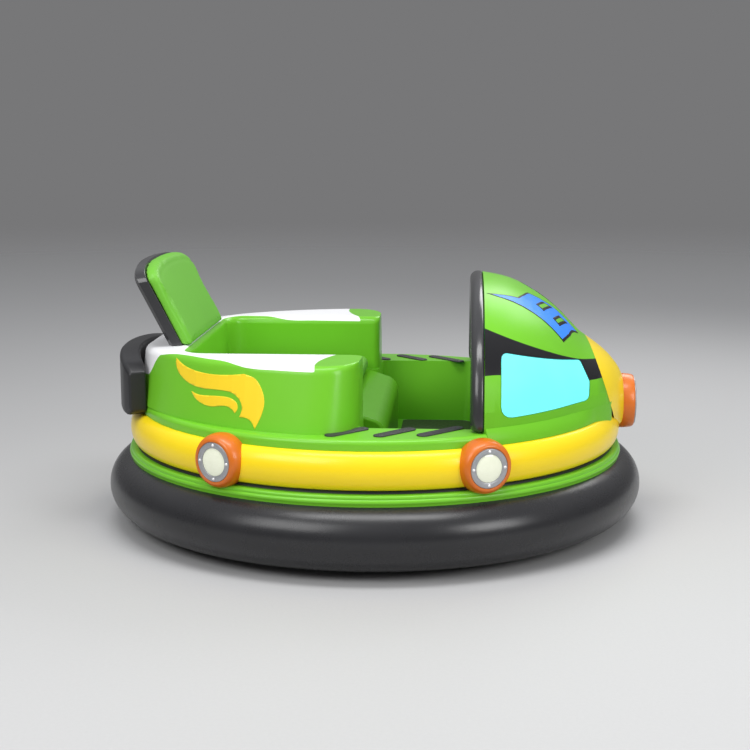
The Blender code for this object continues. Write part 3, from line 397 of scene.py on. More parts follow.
deck_coat = gel_coat("deck_gel_coat", green_shade)
# Down in the tub the green turns darker towards the floor: painted shade in the footwell.
depth = deck_coat.along("Z").past(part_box("upper_body")[1].z - 0.14, 0.13)
deck_coat.give(Base_Color=deck_coat.blend(depth, tint(76, 148, 22), deck_coat.colour))
dress(welded("deck_skin", "upper_body", 30.0, 0.0015), deck_coat, "car", "fibreglass_green",
      "upper_body")


# ---- Floor mat ----
# A dark green rubber mat lies in the footwell. Its top has a fine pattern of raised lines
# that cross, so that wet shoes hold.
mat_rubber = Finish("mat_rubber")
across = mat_rubber.node("ShaderNodeTexWave", {"bands_direction": "DIAGONAL"},
                         {"Vector": mat_rubber.place, "Scale": 22.0, "Distortion": 0.0})
turned_place = mat_rubber.node("ShaderNodeMapping", {},
                               {"Vector": mat_rubber.place, "Scale": (1.0, -1.0, 1.0)})
other = mat_rubber.node("ShaderNodeTexWave", {"bands_direction": "DIAGONAL"},
                        {"Vector": turned_place, "Scale": 22.0, "Distortion": 0.0})
lines = across.sum("MAXIMUM", across, other)
mat_rubber.give(Base_Color=mat_rubber.blend(lines, tint(26, 42, 13), tint(40, 62, 21)), Roughness=0.62)
mat_rubber.bump(lines, 0.0015, 0.5)
nodes["floor_mat"].data.materials.clear()
nodes["floor_mat"].data.materials.append(mat_rubber.material)


# ---- Grip strips ----
# Three slanting bars of black ribbed rubber are glued to the deck on each side, where
# the driver steps in. Each is a bar with round ends and an eased top.
deck_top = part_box("upper_body")[1].z
strip_rubber = rubber("strip_rubber", tint(46, 46, 48), 260.0, 0.5)
ribs = strip_rubber.node("ShaderNodeTexWave", {"bands_direction": "X"},
                         {"Vector": strip_rubber.place, "Scale": 55.0, "Distortion": 0.0})
strip_rubber.bump(ribs, 0.001, 0.6)
bm = bmesh.new()
for start, stop in (
    ((-0.102, 0.780), (0.016, 0.657)),
    ((0.049, 0.778), (0.164, 0.655)),
    ((0.182, 0.763), (0.315, 0.626)),
):
    for side in (-1.0, 1.0):
        run = Vector((stop[0] - start[0], side * (stop[1] - start[1]), 0.0))
        centre = Vector(((start[0] + stop[0]) / 2, side * (start[1] + stop[1]) / 2, deck_top + 0.0022))
        turn = Matrix.Rotation(math.atan2(run.y, run.x), 4, "Z")
        size = Matrix.Diagonal((run.length, 0.040, 0.0040, 1.0))
        made = bmesh.ops.create_cube(bm, size=1.0, matrix=Matrix.Translation(centre) @ turn @ size)
        corners = {e for v in made["verts"] for e in v.link_edges
                   if abs(e.verts[0].co.z - e.verts[1].co.z) > 0.003}
        rounded = bmesh.ops.bevel(bm, geom=list(corners), offset=0.0195, segments=7, profile=0.5,
                                  affect="EDGES", material=-1)
        brim = {e for f in rounded["faces"] for v in f.verts for e in v.link_edges
                if all(w.co.z > centre.z for w in e.verts)}
        bmesh.ops.bevel(bm, geom=list(brim), offset=0.0016, segments=2, profile=0.5,
                        affect="EDGES", material=-1)
dress(finished("grip_strips", bm), strip_rubber, "car", "black_gasket")


# ---- Seat base ----
# The seat stands on a moulded green box with a rounded front edge, part of the tub.
# A duller gel coat covers it, painted a darker green than the rest of the tub as painted shade.
base_coat = gel_coat("seat_base_coat", tint(94, 166, 30), shine=0.1, coat=0.0)
dress(welded("seat_base_skin", "seat_base", 30.0, 0.002), base_coat, "car", "fibreglass_green",
      "seat_base")


# ---- Arms and rear deck ----
# One green moulding wraps the seat: two broad arms that lean inwards and a low deck behind.
# Its top is painted white, with a round green patch at the front of each arm.
arm_coat = gel_coat("arm_gel_coat", green_shade)
x = arm_coat.along("X")
y = abs(arm_coat.along("Y"))
z = arm_coat.along("Z")
arm_length = 0.80
edge = arm_coat.node("ShaderNodeFloatCurve", {"points": [
    (0.0, 0.572), (0.012, 0.590), (0.03, 0.600), (0.06, 0.608), (0.128, 0.6166), (0.188, 0.628),
    (0.255, 0.6335), (0.375, 0.6345), (0.45, 0.633), (0.50, 0.627), (0.538, 0.622), (0.67, 0.6206),
    (1.0, 0.619)]}, {1: (x + arm_length) / arm_length})
behind_pad = (0.36 - y).past(0.0, 0.04) * (-0.64 - x).past(0.0, 0.01) * 0.07
above = z - edge + behind_pad
from_inside = y - 0.43
before_patch = from_inside * (from_inside * 1.25 - 0.60) - 0.074 - x
corner = arm_coat.node("ShaderNodeMath", {"operation": "SMOOTH_MIN"}, [above * 2.2, before_patch, 0.012])
white = corner.past(0.0, 0.0012)
arm_coat.give(Base_Color=arm_coat.blend(white, arm_coat.colour, tint(253, 253, 255)))
arms = welded("arms_skin", "rear_body", 30.0)
dress(arms, arm_coat, "car", "fibreglass_green", "rear_body")


# ---- Side flash ----
# A generic feather flash in yellow vinyl is stuck to each outer wall: one long swept stroke
# and a short one under it. Each is cut flat, then pressed on to the wall.
def swept(points, steps=6):
    """A smooth line through a few points, ends included."""
    line = []
    for i in range(len(points) - 1):
        four = (points[min(max(k, 0), len(points) - 1)] for k in (i - 1, i, i + 1, i + 2))
        p0, p1, p2, p3 = (Vector(point) for point in four)
        for s in range(steps):
            t = s / steps
            line.append(0.5 * (2 * p1 + (p2 - p0) * t + (2 * p0 - 5 * p1 + 4 * p2 - p3) * t * t
                               + (3 * p1 - p0 - 3 * p2 + p3) * t ** 3))
    return line


def sticker(name, outline, onto, aim, lift, finishes, border=0.0, grid=0.006):
    """Cuts a flat outline into small faces and presses them on to a surface along one direction."""
    bm = bmesh.new()
    bm.faces.new([bm.verts.new(point) for point in outline])
    bm.normal_update()
    if border:
        rim = bmesh.ops.inset_region(bm, faces=bm.faces[:], thickness=border, use_even_offset=True,
                                     use_boundary=True)
        for face in rim["faces"]:
            face.material_index = 1
    bmesh.ops.triangulate(bm, faces=bm.faces[:])
    aim = Vector(aim)
    for across in (Vector((1.0, 0.0, 0.0)), Vector((0.0, aim.z, aim.y)).normalized()):
        reach = [v.co.dot(across) for v in bm.verts]
        first = math.floor(min(reach) / grid)
        for k in range(first, math.ceil(max(reach) / grid) + 1):
            bmesh.ops.bisect_plane(bm, geom=bm.verts[:] + bm.edges[:] + bm.faces[:], dist=1e-6,
                                   plane_co=across * (k * grid), plane_no=across)
    missed = []
    for vert in bm.verts:
        found, normal, _, _ = onto.ray_cast(vert.co, aim)
        if found is None:
            missed.append(vert)
        else:
            vert.co = found + normal * lift
    bmesh.ops.delete(bm, geom=missed, context="VERTS")
    bmesh.ops.remove_doubles(bm, verts=bm.verts, dist=1e-6)
    for face in bm.faces:
        face.normal_update()
        if face.normal.dot(aim) > 0.0:
            face.normal_flip()
    mesh = bpy.data.meshes.new(name)
    bm.to_mesh(mesh)
    bm.free()
    mesh.shade_smooth()
    for finish in finishes:
        mesh.materials.append(finish.material)
    piece = bpy.data.objects.new(name, mesh)
    bpy.context.scene.collection.objects.link(piece)
    film = piece.modifiers.new("film", "SOLIDIFY")
    film.thickness = lift
    film.offset = -1.0
    return piece


def surface_of(piece):
    """The outer surface of a finished piece, to press stickers on to."""
    bm = bmesh.new()
    bm.from_mesh(piece.data)
    tree = BVHTree.FromBMesh(bm)
    bm.free()
    return tree


yellow_vinyl = gel_coat("yellow_vinyl", tint(255, 216, 44), 0.3)
film_thickness = 0.0008
well_outside = 1.2
wall = surface_of(arms)
long_stroke = swept([(-0.6235, 0.621), (-0.588, 0.603), (-0.540, 0.593), (-0.480, 0.590),
                     (-0.417, 0.595), (-0.372, 0.602)])
long_stroke += swept([(-0.372, 0.602), (-0.333, 0.589), (-0.309, 0.552), (-0.303, 0.515),
                      (-0.313, 0.476), (-0.333, 0.436)])
long_stroke += swept([(-0.333, 0.436), (-0.345, 0.457), (-0.362, 0.467), (-0.386, 0.468)])
long_stroke += swept([(-0.386, 0.468), (-0.377, 0.497), (-0.389, 0.524), (-0.416, 0.541),
                      (-0.460, 0.544), (-0.520, 0.542), (-0.570, 0.551), (-0.607, 0.572),
                      (-0.623, 0.598), (-0.6235, 0.621)])
short_stroke = swept([(-0.560, 0.527), (-0.527, 0.520), (-0.458, 0.525), (-0.422, 0.524),
                      (-0.398, 0.513), (-0.392, 0.495), (-0.401, 0.478)])
short_stroke += swept([(-0.401, 0.478), (-0.414, 0.490), (-0.436, 0.497), (-0.488, 0.489),
                       (-0.523, 0.495), (-0.546, 0.508), (-0.560, 0.527)])
for side, label in ((-1.0, "right"), (1.0, "left")):
    for stroke, part in ((long_stroke, "long"), (short_stroke, "short")):
        outline = [(p[0], side * well_outside, p[1]) for p in stroke]
        flash = sticker(f"{part}_flash_{label}", outline, wall, (0.0, -side, 0.0), film_thickness,
                        [yellow_vinyl])
        dress(flash, yellow_vinyl, "car", "fibreglass_yellow")


# ---- Tail bumper ----
# A thick black rubber pad wraps the tail above the belt, for knocks from behind.
# Its corners are well rounded.
pad_rubber = rubber("pad_rubber", tint(34, 34, 36), 350.0, 0.36)
dress(welded("tail_pad", "tail_band", 40.0, 0.006), pad_rubber, "car", "black_gasket", "tail_band")


# ---- Seat cushion and back pad ----
# Two foam pads are covered in smooth green vinyl. They are blown up a little by a cloth
# simulation, and welted lines are pressed in afterwards.
def plump(name, node, cap, pressure=4.0, voxel=0.008):
    """A CAD pad remeshed and swollen under pressure by at most cap."""
    bm = bmesh.new()
    bm.from_mesh(nodes[node].data)
    bmesh.ops.remove_doubles(bm, verts=bm.verts, dist=1e-5)
    mesh = bpy.data.meshes.new(name)
    bm.to_mesh(mesh)
    bm.free()
    pad = bpy.data.objects.new(name, mesh)
    bpy.context.scene.collection.objects.link(pad)
    grid = pad.modifiers.new("grid", "REMESH")
    grid.mode = "VOXEL"
    grid.voxel_size = voxel
    graph = bpy.context.evaluated_depsgraph_get()
    pad.data = bpy.data.meshes.new_from_object(pad.evaluated_get(graph))
    pad.modifiers.clear()
    rest = [v.co.copy() for v in pad.data.vertices]
    cloth = pad.modifiers.new("cloth", "CLOTH")
    cloth.settings.use_pressure = True
    cloth.settings.uniform_pressure_force = pressure
    cloth.settings.effector_weights.gravity = 0.0
    cloth.settings.quality = 5
    cloth.point_cache.frame_start = 1
    cloth.point_cache.frame_end = 20
    for step in range(1, 21):
        bpy.context.scene.frame_set(step)
    graph = bpy.context.evaluated_depsgraph_get()
    swollen = bpy.data.meshes.new_from_object(pad.evaluated_get(graph))
    pad.modifiers.clear()
    for vert, start, grown in zip(pad.data.vertices, rest, swollen.vertices):
        move = grown.co - start
        if move.length > cap:
            move = move.normalized() * cap
        vert.co = start + move
    bpy.context.scene.frame_set(1)
    return pad


def vinyl(name, colour):
    """Smooth upholstery vinyl with a fine leather grain."""
    finish = Finish(name)
    grain = finish.node("ShaderNodeTexVoronoi", {"feature": "SMOOTH_F1"},
                        {"Vector": finish.place, "Scale": 520.0})
    cloudy = finish.noise(6.0, 3.0)
    finish.give(Base_Color=finish.blend(cloudy, scaled(colour, 0.92), scaled(colour, 1.06)))
    finish.give(Roughness=0.40 + cloudy * 0.08 + grain * 0.06)
    finish.bump(grain, 0.0004, 0.22)
    return finish


green_vinyl = vinyl("green_vinyl", tint(106, 182, 44))
low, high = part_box("seat_cushion")
cushion = plump("seat_pad", "seat_cushion", 0.008)
for vert in cushion.data.vertices:
    co = vert.co
    co.z = max(co.z, low.z)
    lift = min(max((co.z - low.z) / (high.z - low.z), 0.0), 1.0)
    inset = min(high.x - co.x, co.x - low.x, high.y - co.y, co.y - low.y)
    welt = math.exp(-((inset - 0.05) / 0.009) ** 2)
    rows = 0.0
    if inset > 0.05:
        rows = max(math.exp(-((co.y - line) / 0.010) ** 2) for line in (-0.13, 0.13))
    crown = 0.006 * min(max(inset / 0.15, 0.0), 1.0)
    co.z += lift * (crown - 0.006 * welt - 0.006 * rows)
cushion.data.shade_smooth()
smooth = cushion.modifiers.new("smooth", "SUBSURF")
smooth.levels = 1
smooth.render_levels = 1
dress(cushion, green_vinyl, "car", "vinyl_green", "seat_cushion")

recline = math.radians(27.3)
foot = Vector((-0.60, 0.0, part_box("rear_body")[1].z))
upward = Vector((-math.sin(recline), 0.0, math.cos(recline)))
outward = Vector((math.cos(recline), 0.0, math.sin(recline)))
low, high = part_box("seat_back_cushion")
back = plump("back_pad", "seat_back_cushion", 0.005, 4.0, 0.006)
length = (high.z - foot.z) / math.cos(recline)
for vert in back.data.vertices:
    up = (vert.co - foot).dot(upward)
    out = (vert.co - foot).dot(outward)
    side = abs(vert.co.y) / high.y
    crest = length - 0.070 + 0.070 * max(0.0, 1.0 - side ** 2.6) ** 0.5
    inset = min(high.y - abs(vert.co.y), crest - up)
    if out > -0.016:
        welt = math.exp(-((inset - 0.036) / 0.008) ** 2)
        vert.co -= outward * (0.0006 * welt)
back.data.shade_smooth()
smooth = back.modifiers.new("smooth", "SUBSURF")
smooth.levels = 1
smooth.render_levels = 1
dress(back, green_vinyl, "car", "vinyl_green", "seat_back_cushion")


# ---- Seat back shell ----
# A glossy black plastic shell carries the back pad and stands on the rear deck.
# Its rim shows as a thin line round the pad.
def gloss_plastic(name, colour, rough=0.2):
    """Injection-moulded plastic with a faint cloud in its shine."""
    finish = Finish(name)
    cloudy = finish.noise(9.0, 3.0)
    fine = finish.noise(240.0, 2.0)
    finish.give(Base_Color=finish.blend(cloudy, colour, scaled(colour, 1.25)))
    finish.give(Roughness=rough + cloudy * 0.08, Coat_Weight=0.25, Coat_Roughness=0.12)
    finish.bump(fine, 0.0003, 0.12)
    return finish


black_gloss = gloss_plastic("black_gloss", tint(46, 46, 48))
dress(welded("back_shell", "seat_back_shell", 32.0), black_gloss, "car", "black_plastic",
      "seat_back_shell")


# ---- Hood ----
# A bullet-shaped fibreglass hood covers the feet and the steering column. A black band runs
# along each side round the window, painted under the gloss.
hood_coat = gel_coat("hood_gel_coat", tint(112, 190, 44), shine=0.12, coat=0.0)
x = hood_coat.along("X")
z = hood_coat.along("Z")
span = (x - 0.36) / 0.44
upper = hood_coat.node("ShaderNodeFloatCurve", {"points": [
    (0.0, 0.748), (0.148, 0.7215), (0.315, 0.6913), (0.497, 0.658), (0.68, 0.6244), (0.79, 0.6059),
    (0.90, 0.5935), (1.0, 0.587)]}, {1: span})
lower = hood_coat.node("ShaderNodeFloatCurve", {"points": [
    (0.0, 0.606), (0.20, 0.604), (0.80, 0.542), (1.0, 0.534)]}, {1: span})
band = (upper - z).past(0.0, 0.0010) * (z - lower).past(0.0, 0.0010)
hood_coat.give(Base_Color=hood_coat.blend(band, hood_coat.colour, tint(34, 34, 36)))
hood = welded("hood_skin", "hood_shell", 30.0)
dress(hood, hood_coat, "car", "fibreglass_green", "hood_shell")


# ---- Hood skirt ----
# A green skirt on each side carries the hood's wall down over the deck's edge to the belt,
# from the arch to the nose cone. It flares a little where it meets the cone.
at_arch = 61.6
at_nose = 15.7
flare_starts = 33.0
flare_length = 16.0
flare_per_degree = 0.0027
hood_wall = 0.815
deck_edge = 0.8365
hidden_wall = 0.81
steps = 56
for side, label in ((-1.0, "right"), (1.0, "left")):
    bm = bmesh.new()
    rings = []
    for k in range(steps + 1):
        angle = at_arch + (at_nose - at_arch) * k / steps
        wall = hood_wall + flare_per_degree * min(max(flare_starts - angle, 0.0), flare_length)
        edge = max(wall, deck_edge)
        foot = 0.398 - 0.017 * ((edge - 0.833) / 0.025) ** 2
        profile = ((wall - 0.014, 0.4330), (wall + 0.0006, 0.4480), (edge, 0.4180), (edge, foot),
                   (hidden_wall, foot))
        around = math.radians(angle)
        rings.append([bm.verts.new((r * math.cos(around), side * r * math.sin(around), z))
                      for r, z in profile])
    for one, two in zip(rings, rings[1:]):
        for k in range(len(one)):
            bm.faces.new((one[k - 1], one[k], two[k], two[k - 1]))
    bm.faces.new(rings[0])
    bm.faces.new(rings[-1])
    bmesh.ops.recalc_face_normals(bm, faces=bm.faces)
    dress(finished(f"hood_skirt_{label}", bm, 60.0), hood_coat, "car", "fibreglass_green")


# ---- Hood stripes ----
# Two mirrored vinyl stripes lie over the hood: a blue field with a black edge, a long point
# to the rear, a notched front, and two green fields near the centre line.
blue_vinyl = gel_coat("blue_vinyl", tint(56, 138, 248), 0.3, 0.12, 0.0)
black_vinyl = gel_coat("black_vinyl", tint(34, 34, 36), 0.3, 0.12, 0.0)
green_vinyl_film = gel_coat("green_film", tint(108, 186, 48), 0.3, 0.12, 0.0)
skin = surface_of(hood)
stripe = swept([(0.392, 0.318), (0.440, 0.331), (0.4846, 0.335), (0.5464, 0.334), (0.6064, 0.340),
                (0.6484, 0.349)], 4)
stripe += swept([(0.6484, 0.349), (0.664, 0.300), (0.677, 0.255)], 3)
stripe += swept([(0.677, 0.255), (0.692, 0.180), (0.716, 0.105)], 3)
stripe += swept([(0.716, 0.105), (0.689, 0.094), (0.6547, 0.082), (0.6285, 0.080), (0.5876, 0.100),
                 (0.5344, 0.1336)], 3)
stripe += swept([(0.5344, 0.1336), (0.517, 0.205), (0.497, 0.272)], 3)
stripe += swept([(0.497, 0.272), (0.462, 0.290), (0.392, 0.318)], 4)
fields = (
    [(0.5598, 0.236), (0.5884, 0.130), (0.624, 0.112), (0.5863, 0.2515)],
    [(0.6162, 0.2538), (0.6428, 0.155), (0.6739, 0.1452), (0.640, 0.268)],
)
for side, label in ((-1.0, "right"), (1.0, "left")):
    outline = [(p[0], side * p[1], 1.0) for p in stripe]
    blue = sticker(f"stripe_{label}", outline, skin, (0.0, 0.0, -1.0), film_thickness,
                   [blue_vinyl, black_vinyl], 0.0062)
    dress(blue, blue_vinyl, "car", "window_cyan")
    for k, field in enumerate(fields):
        outline = [(p[0], side * p[1], 1.0) for p in field]
        patch = sticker(f"field_{k}_{label}", outline, skin, (0.0, 0.0, -1.0), 0.0014,
                        [green_vinyl_film, black_vinyl], 0.0085)
        dress(patch, green_vinyl_film, "car", "fibreglass_green")


# ---- Side windows ----
# Each window is a pane of cyan acrylic let into the hood's side, flush with the skin.
# A thin black gap shows round it.
acrylic = Finish("cyan_acrylic")
haze = acrylic.noise(5.0, 2.0)
acrylic.give(Base_Color=acrylic.blend(haze, tint(108, 250, 254), tint(128, 255, 255)))
acrylic.give(Roughness=0.10 + haze * 0.05, Coat_Weight=0.4, Coat_Roughness=0.03)
# The pane glows faintly, which is painted light; it holds no lamp.
acrylic.give(Emission_Color=tint(112, 250, 255), Emission_Strength=0.22)
for label in ("left", "right"):
    window = "window_" + label
    dress(welded("pane_" + label, window, 30.0, 0.001), acrylic, "car", "window_cyan", window)


# ---- Hood arch ----
# A thick rounded black frame finishes the hood's open rear edge and stands on the deck.
# It is moulded plastic with a strong shine.
dress(welded("arch_skin", "hood_arch", 40.0, join=True, levels=2), black_gloss, "car", "black_plastic",
      "hood_arch")


# ---- Nose cone ----
# The yellow nose is a separate moulding bolted in front of the hood. Its foot wraps over
# the belt and the deck's edge.
dress(welded("nose_skin", "nose_cone", 30.0), yellow_coat, "car", "fibreglass_yellow", "nose_cone")


# ---- Lamps ----
# Five lamps: round orange housings on the belt and the nose, each with a grey metal bezel,
# four round-headed screws and a cream fluted lens.
orange_plastic = gloss_plastic("orange_plastic", tint(202, 102, 8), 0.34)
bezel_metal = Finish("bezel_metal")
brushed = bezel_metal.noise(130.0, 3.0)
bezel_metal.give(Base_Color=bezel_metal.blend(brushed, tint(156, 157, 160), tint(182, 183, 186)))
bezel_metal.give(Metallic=0.55, Roughness=0.34 + brushed * 0.1)
screw_metal = Finish("screw_metal")
shine = screw_metal.noise(300.0)
screw_metal.give(Base_Color=screw_metal.blend(shine, tint(226, 226, 228), tint(250, 250, 250)))
screw_metal.give(Metallic=0.3, Roughness=0.25)
lens_plastic = Finish("lens_plastic")
cast = lens_plastic.noise(40.0, 2.0)
flutes = lens_plastic.node("ShaderNodeTexWave", {"bands_direction": "Z"},
                           {"Vector": lens_plastic.place, "Scale": 45.0, "Distortion": 0.0})
lens_plastic.bump(flutes, 0.0006, 0.25)
lens_plastic.give(Base_Color=lens_plastic.blend(cast, tint(236, 240, 214), tint(246, 249, 228)))
lens_plastic.give(Roughness=0.12 + cast * 0.05, Coat_Weight=0.5, Coat_Roughness=0.04)
lens_plastic.give(Emission_Color=tint(240, 245, 220), Emission_Strength=0.06)
for label in ("front_left_lamp", "front_right_lamp", "rear_left_lamp", "rear_right_lamp", "nose_lamp"):
    nose = label == "nose_lamp"
    low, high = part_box(label + "_bezel")
    centre = (low + high) / 2
    facing = Vector((centre.x, centre.y, 0.0)).normalized()
    outer = (high.z - low.z) / 2
    low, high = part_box(label + "_lens")
    inner_rim = (high.z - low.z) / 2 + 0.0003
    stand = Matrix.Translation(centre) @ facing.to_track_quat("Z", "Y").to_matrix().to_4x4()
    thick = 0.0055
    front = 0.0005
    low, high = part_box(label + "_housing")
    girth = (high.z - low.z) / 2
    neck = outer + 0.0004
    shoulder = front - 0.005 if nose else front
    outline = [(neck, -0.012), (neck, shoulder - 0.0015), (neck + 0.0015, shoulder)]
    for k in range(15):
        turn = math.radians(6.0 * k)
        swell = (girth - neck - 0.004) * math.sin(turn)
        outline.append((neck + 0.004 + swell, shoulder - 0.040 * (1.0 - math.cos(turn))))
    outline += [(girth, -0.050), (girth - 0.004, -0.068), (neck, -0.068)]
    dress(turned(label + "_body", outline, 96, stand), orange_plastic, "car", "lamp_orange",
          label + "_housing")
    outline = [(inner_rim, -thick), (outer, -thick), (outer, front - 0.003)]
    outline += bow(outer - 0.003, front - 0.003, 0.003, 10.0, 80.0, 4)
    outline += [(inner_rim + 0.003, front), (inner_rim + 0.001, front - 0.001)]
    outline += [(inner_rim, front - 0.003)]
    dress(turned(label + "_rim", outline, 72, stand), bezel_metal, "car", "bezel_grey",
          label + "_bezel")
    bulge = 0.006
    outline = [(0.0, -thick + 0.0005), (inner_rim - 0.0004, -thick + 0.0005)]
    outline += [(inner_rim - 0.0004, -0.0025)]
    for k in range(1, 15):
        share = 1.0 - k / 15
        outline.append(((inner_rim - 0.0006) * share, -0.0025 + bulge * (1.0 - share ** 2) ** 0.8))
    outline.append((0.0, bulge - 0.0025))
    dress(turned(label + "_glass", outline, 72, stand), lens_plastic, "car", "lens_cream",
          label + "_lens")
    bm = bmesh.new()
    spot = (inner_rim + outer) / 2
    for k in range(4):
        turn = Matrix.Rotation(math.radians(90.0 * k), 4, "Z")
        where = turn @ Matrix.Translation((spot, 0.0, front - 0.0008))
        bmesh.ops.create_uvsphere(bm, u_segments=14, v_segments=8, radius=0.0052,
                                  matrix=stand @ where @ Matrix.Diagonal((1.0, 1.0, 0.75, 1.0)))
    dress(finished(label + "_screws", bm), screw_metal, "car", "zinc_plate")


# ---- Dashboard and column ----
# A grained black bulkhead crosses the hood in front of the driver. A round steel column comes
# out of it, beside a small start box with two push buttons.
grained = rubber("grained_plastic", tint(40, 40, 42), 500.0, 0.5)
nodes["dashboard"].data.materials.clear()
nodes["dashboard"].data.materials.append(grained.material)
steel_paint = Finish("black_powder_coat")
pits = steel_paint.noise(240.0, 4.0)
cloudy = steel_paint.noise(7.0, 4.0)
steel_paint.give(Base_Color=steel_paint.blend(cloudy, tint(34, 34, 36), tint(54, 54, 56)))
steel_paint.give(Metallic=0.2, Roughness=0.46 + pits * 0.1)
steel_paint.bump(pits, 0.0004, 0.3)
dress(welded("column_tube", "steering_column", 35.0, 0.0015), steel_paint, "car", "frame_steel",
      "steering_column")
low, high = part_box("dashboard")
bm = bmesh.new()
bmesh.ops.create_cube(bm, size=1.0, matrix=Matrix.Translation((low.x - 0.015, 0.19, 0.60))
                      @ Matrix.Diagonal((0.029, 0.11, 0.075, 1.0)))
bmesh.ops.bevel(bm, geom=bm.edges[:], offset=0.006, segments=3, profile=0.5, affect="EDGES", material=-1)
front = min(bm.faces, key=lambda f: f.calc_center_median().x)
bmesh.ops.inset_region(bm, faces=[front], thickness=0.006)
sunk = bmesh.ops.extrude_face_region(bm, geom=[front])
corners = [v for v in sunk["geom"] if isinstance(v, bmesh.types.BMVert)]
bmesh.ops.translate(bm, verts=corners, vec=(0.003, 0.0, 0.0))
bmesh.ops.delete(bm, geom=[front], context="FACES_ONLY")
dress(finished("start_box", bm), black_gloss, "car", "black_plastic")
red_button = gloss_plastic("red_button", tint(200, 34, 26))
for name, across, finish in (("start_button", 0.165, green_coat), ("stop_button", 0.215, red_button)):
    where = Matrix.Translation((low.x - 0.0265, across, 0.60)) @ Matrix.Rotation(-math.pi / 2, 4, "Y")
    outline = [(0.0, 0.0), (0.013, 0.0), (0.013, 0.004), (0.011, 0.004), (0.011, 0.009), (0.009, 0.011)]
    outline.append((0.0, 0.0115))
    dress(turned(name, outline, 40, where), finish, "car", "black_plastic")


# ---- Steering wheel ----
# A three-spoke wheel with a soft black rim, flat metal spokes and a round hub cap.
# It turns on the column through a third of a turn each way.
joint = next(j for j in frame["joints"] if j["name"] == "steering_turn")
hub = Vector(joint.get("pos_m") or (0.485, 0.0, 0.625))
column_axis = Vector(joint["axis"]).normalized()
lean = Vector((0.0, 0.0, 1.0)).rotation_difference(column_axis).to_matrix().to_4x4()
stand = Matrix.Translation(hub) @ lean
rim_tube = 0.013
rim_centre = 0.122
soft_grip = rubber("soft_grip", tint(38, 38, 40), 700.0, 0.55)
bm = bmesh.new()
upright = Matrix.Translation((rim_centre, 0.0, 0.0)) @ Matrix.Rotation(math.pi / 2, 4, "X")
bmesh.ops.create_circle(bm, segments=24, radius=rim_tube, matrix=upright)
bmesh.ops.spin(bm, geom=bm.verts[:] + bm.edges[:], angle=math.tau, steps=96, axis=(0, 0, 1),
               cent=(0, 0, 0), use_merge=True)
bmesh.ops.transform(bm, matrix=stand, verts=bm.verts)
dress(finished("steering_rim", bm), soft_grip, "steering", "black_plastic", "steering_wheel")
bm = bmesh.new()
for k in range(3):
    turn = Matrix.Rotation(math.radians(120.0 * k + 180.0), 4, "Z")
    size = Matrix.Translation((0.070, 0.0, 0.0)) @ Matrix.Diagonal((0.098, 0.022, 0.008, 1.0))
    bmesh.ops.create_cube(bm, size=1.0, matrix=turn @ size)
bmesh.ops.bevel(bm, geom=bm.edges[:], offset=0.0025, segments=3, profile=0.5, affect="EDGES", material=-1)
bmesh.ops.transform(bm, matrix=stand, verts=bm.verts)
dress(finished("steering_spokes", bm), bezel_metal, "steering", "bezel_grey")
outline = [(0.0, -0.014), (0.033, -0.014), (0.038, -0.008), (0.037, 0.008), (0.030, 0.014), (0.0, 0.0155)]
dress(turned("steering_hub_cap", outline, 64, stand), black_gloss, "steering", "black_plastic")


# ---- Frame, fork and axle ----
# Under the tub a welded frame of square steel tube rests on the pan's shelf. The front fork
# and the dead rear axle are zinc plated.
dress(welded("frame_rails", "chassis_frame", 30.0, 0.002), steel_paint, "car", "frame_steel",
      "chassis_frame")
zinc = Finish("zinc_plate")
spangle = zinc.node("ShaderNodeTexVoronoi", {}, {"Vector": zinc.place, "Scale": 160.0}, "Distance")
zinc.give(Base_Color=zinc.blend(spangle, tint(168, 170, 174), tint(200, 202, 206)), Metallic=0.9)
zinc.give(Roughness=0.30 + spangle * 0.18)
dress(welded("fork_plates", "front_fork", 30.0, 0.001), zinc, "fork", "zinc_plate", "front_fork")
dress(welded("axle_bar", "rear_axle", 30.0, 0.0006), zinc, "car", "zinc_plate", "rear_axle")


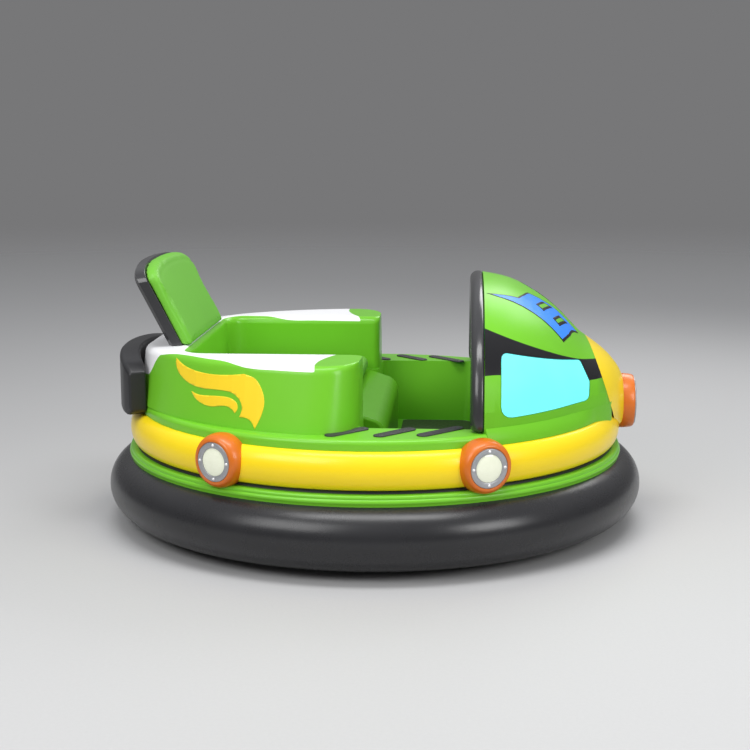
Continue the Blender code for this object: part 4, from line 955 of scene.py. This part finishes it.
# ---- Road wheels ----
# Three small wheels with solid rubber tyres on cast rims. Each tyre has three grooves round
# its tread, and five bolts hold the rim's face.
tyre_rubber = rubber("tyre_rubber", tint(36, 36, 37), 380.0, 0.6)
axle_hole = 0.0112
for node, body in (("front_wheel", "front_wheel"), ("rear_wheel_left", "left_rear_wheel"),
                   ("rear_wheel_right", "right_rear_wheel")):
    low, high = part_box(node)
    centre = (low + high) / 2
    radius = (high.z - low.z) / 2
    half = (high.y - low.y) / 2
    stand = Matrix.Translation(centre) @ Matrix.Rotation(-math.pi / 2, 4, "X")
    outline = [(radius * 0.64, -half)]
    outline += bow(radius - 0.012, -half + 0.012, 0.012, -90.0, 0.0, 6)
    for groove in (-0.30, 0.0, 0.30):
        g = half * groove
        outline += [(radius, g - 0.002), (radius - 0.003, g - 0.001)]
        outline += [(radius - 0.003, g + 0.001), (radius, g + 0.002)]
    outline += bow(radius - 0.012, half - 0.012, 0.012, 0.0, 90.0, 6)
    outline += [(radius * 0.64, half), (radius * 0.60, half - 0.004), (radius * 0.60, -half + 0.004)]
    dress(turned(node + "_tyre", outline, 96, stand), tyre_rubber, body, "tyre_rubber", node)
    web = half * 0.45
    outline = [(axle_hole, -half), (radius * 0.30, -half), (radius * 0.33, -web), (radius * 0.56, -web)]
    outline += [(radius * 0.60, -half * 0.8), (radius * 0.60, half * 0.8), (radius * 0.56, web)]
    outline += [(radius * 0.33, web), (radius * 0.30, half), (axle_hole, half)]
    dress(turned(node + "_rim", outline, 72, stand), zinc, body, "zinc_plate")
    bm = bmesh.new()
    for face in (-1.0, 1.0):
        for k in range(5):
            turn = Matrix.Rotation(math.radians(72.0 * k), 4, "Z")
            spot = Matrix.Translation((radius * 0.445, 0.0, face * (web + 0.0015)))
            bmesh.ops.create_cone(bm, cap_ends=True, segments=6, radius1=0.0048, radius2=0.0048,
                                  depth=0.004, matrix=stand @ turn @ spot)
    sharp = [e for e in bm.edges if e.calc_face_angle(0.0) > 1.2]
    bmesh.ops.bevel(bm, geom=sharp, offset=0.0005, segments=2, profile=0.5, affect="EDGES", material=-1)
    dress(finished(node + "_bolts", bm), screw_metal, body, "zinc_plate")


# ---- Battery and motor ----
# The battery is a plain box with eased edges, hung under the tub. The motor is a finned drum
# behind it.
case_plastic = rubber("case_plastic", tint(74, 78, 86), 300.0, 0.55)
dress(welded("battery_case", "battery_pack", 30.0, 0.001), case_plastic, "car", "battery_case",
      "battery_pack")
low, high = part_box("drive_motor")
centre = (low + high) / 2
drum = min(high.x - low.x, high.z - low.z) / 2
length = (high.y - low.y) / 2
stand = Matrix.Translation(centre) @ Matrix.Rotation(-math.pi / 2, 4, "X")
core = drum * 0.85
outline = [(0.0, -length), (drum * 0.55, -length), (core, -length + 0.012)]
fins = 9
for k in range(fins):
    z0 = -length + 0.016 + (2 * length - 0.032) * k / fins
    step = (2 * length - 0.032) / fins
    outline += [(core, z0), (drum, z0 + step * 0.15), (drum, z0 + step * 0.55), (core, z0 + step * 0.7)]
outline += [(core, length - 0.012), (drum * 0.55, length), (0.0, length)]
dress(turned("motor_drum", outline, 72, stand), steel_paint, "car", "frame_steel", "drive_motor")
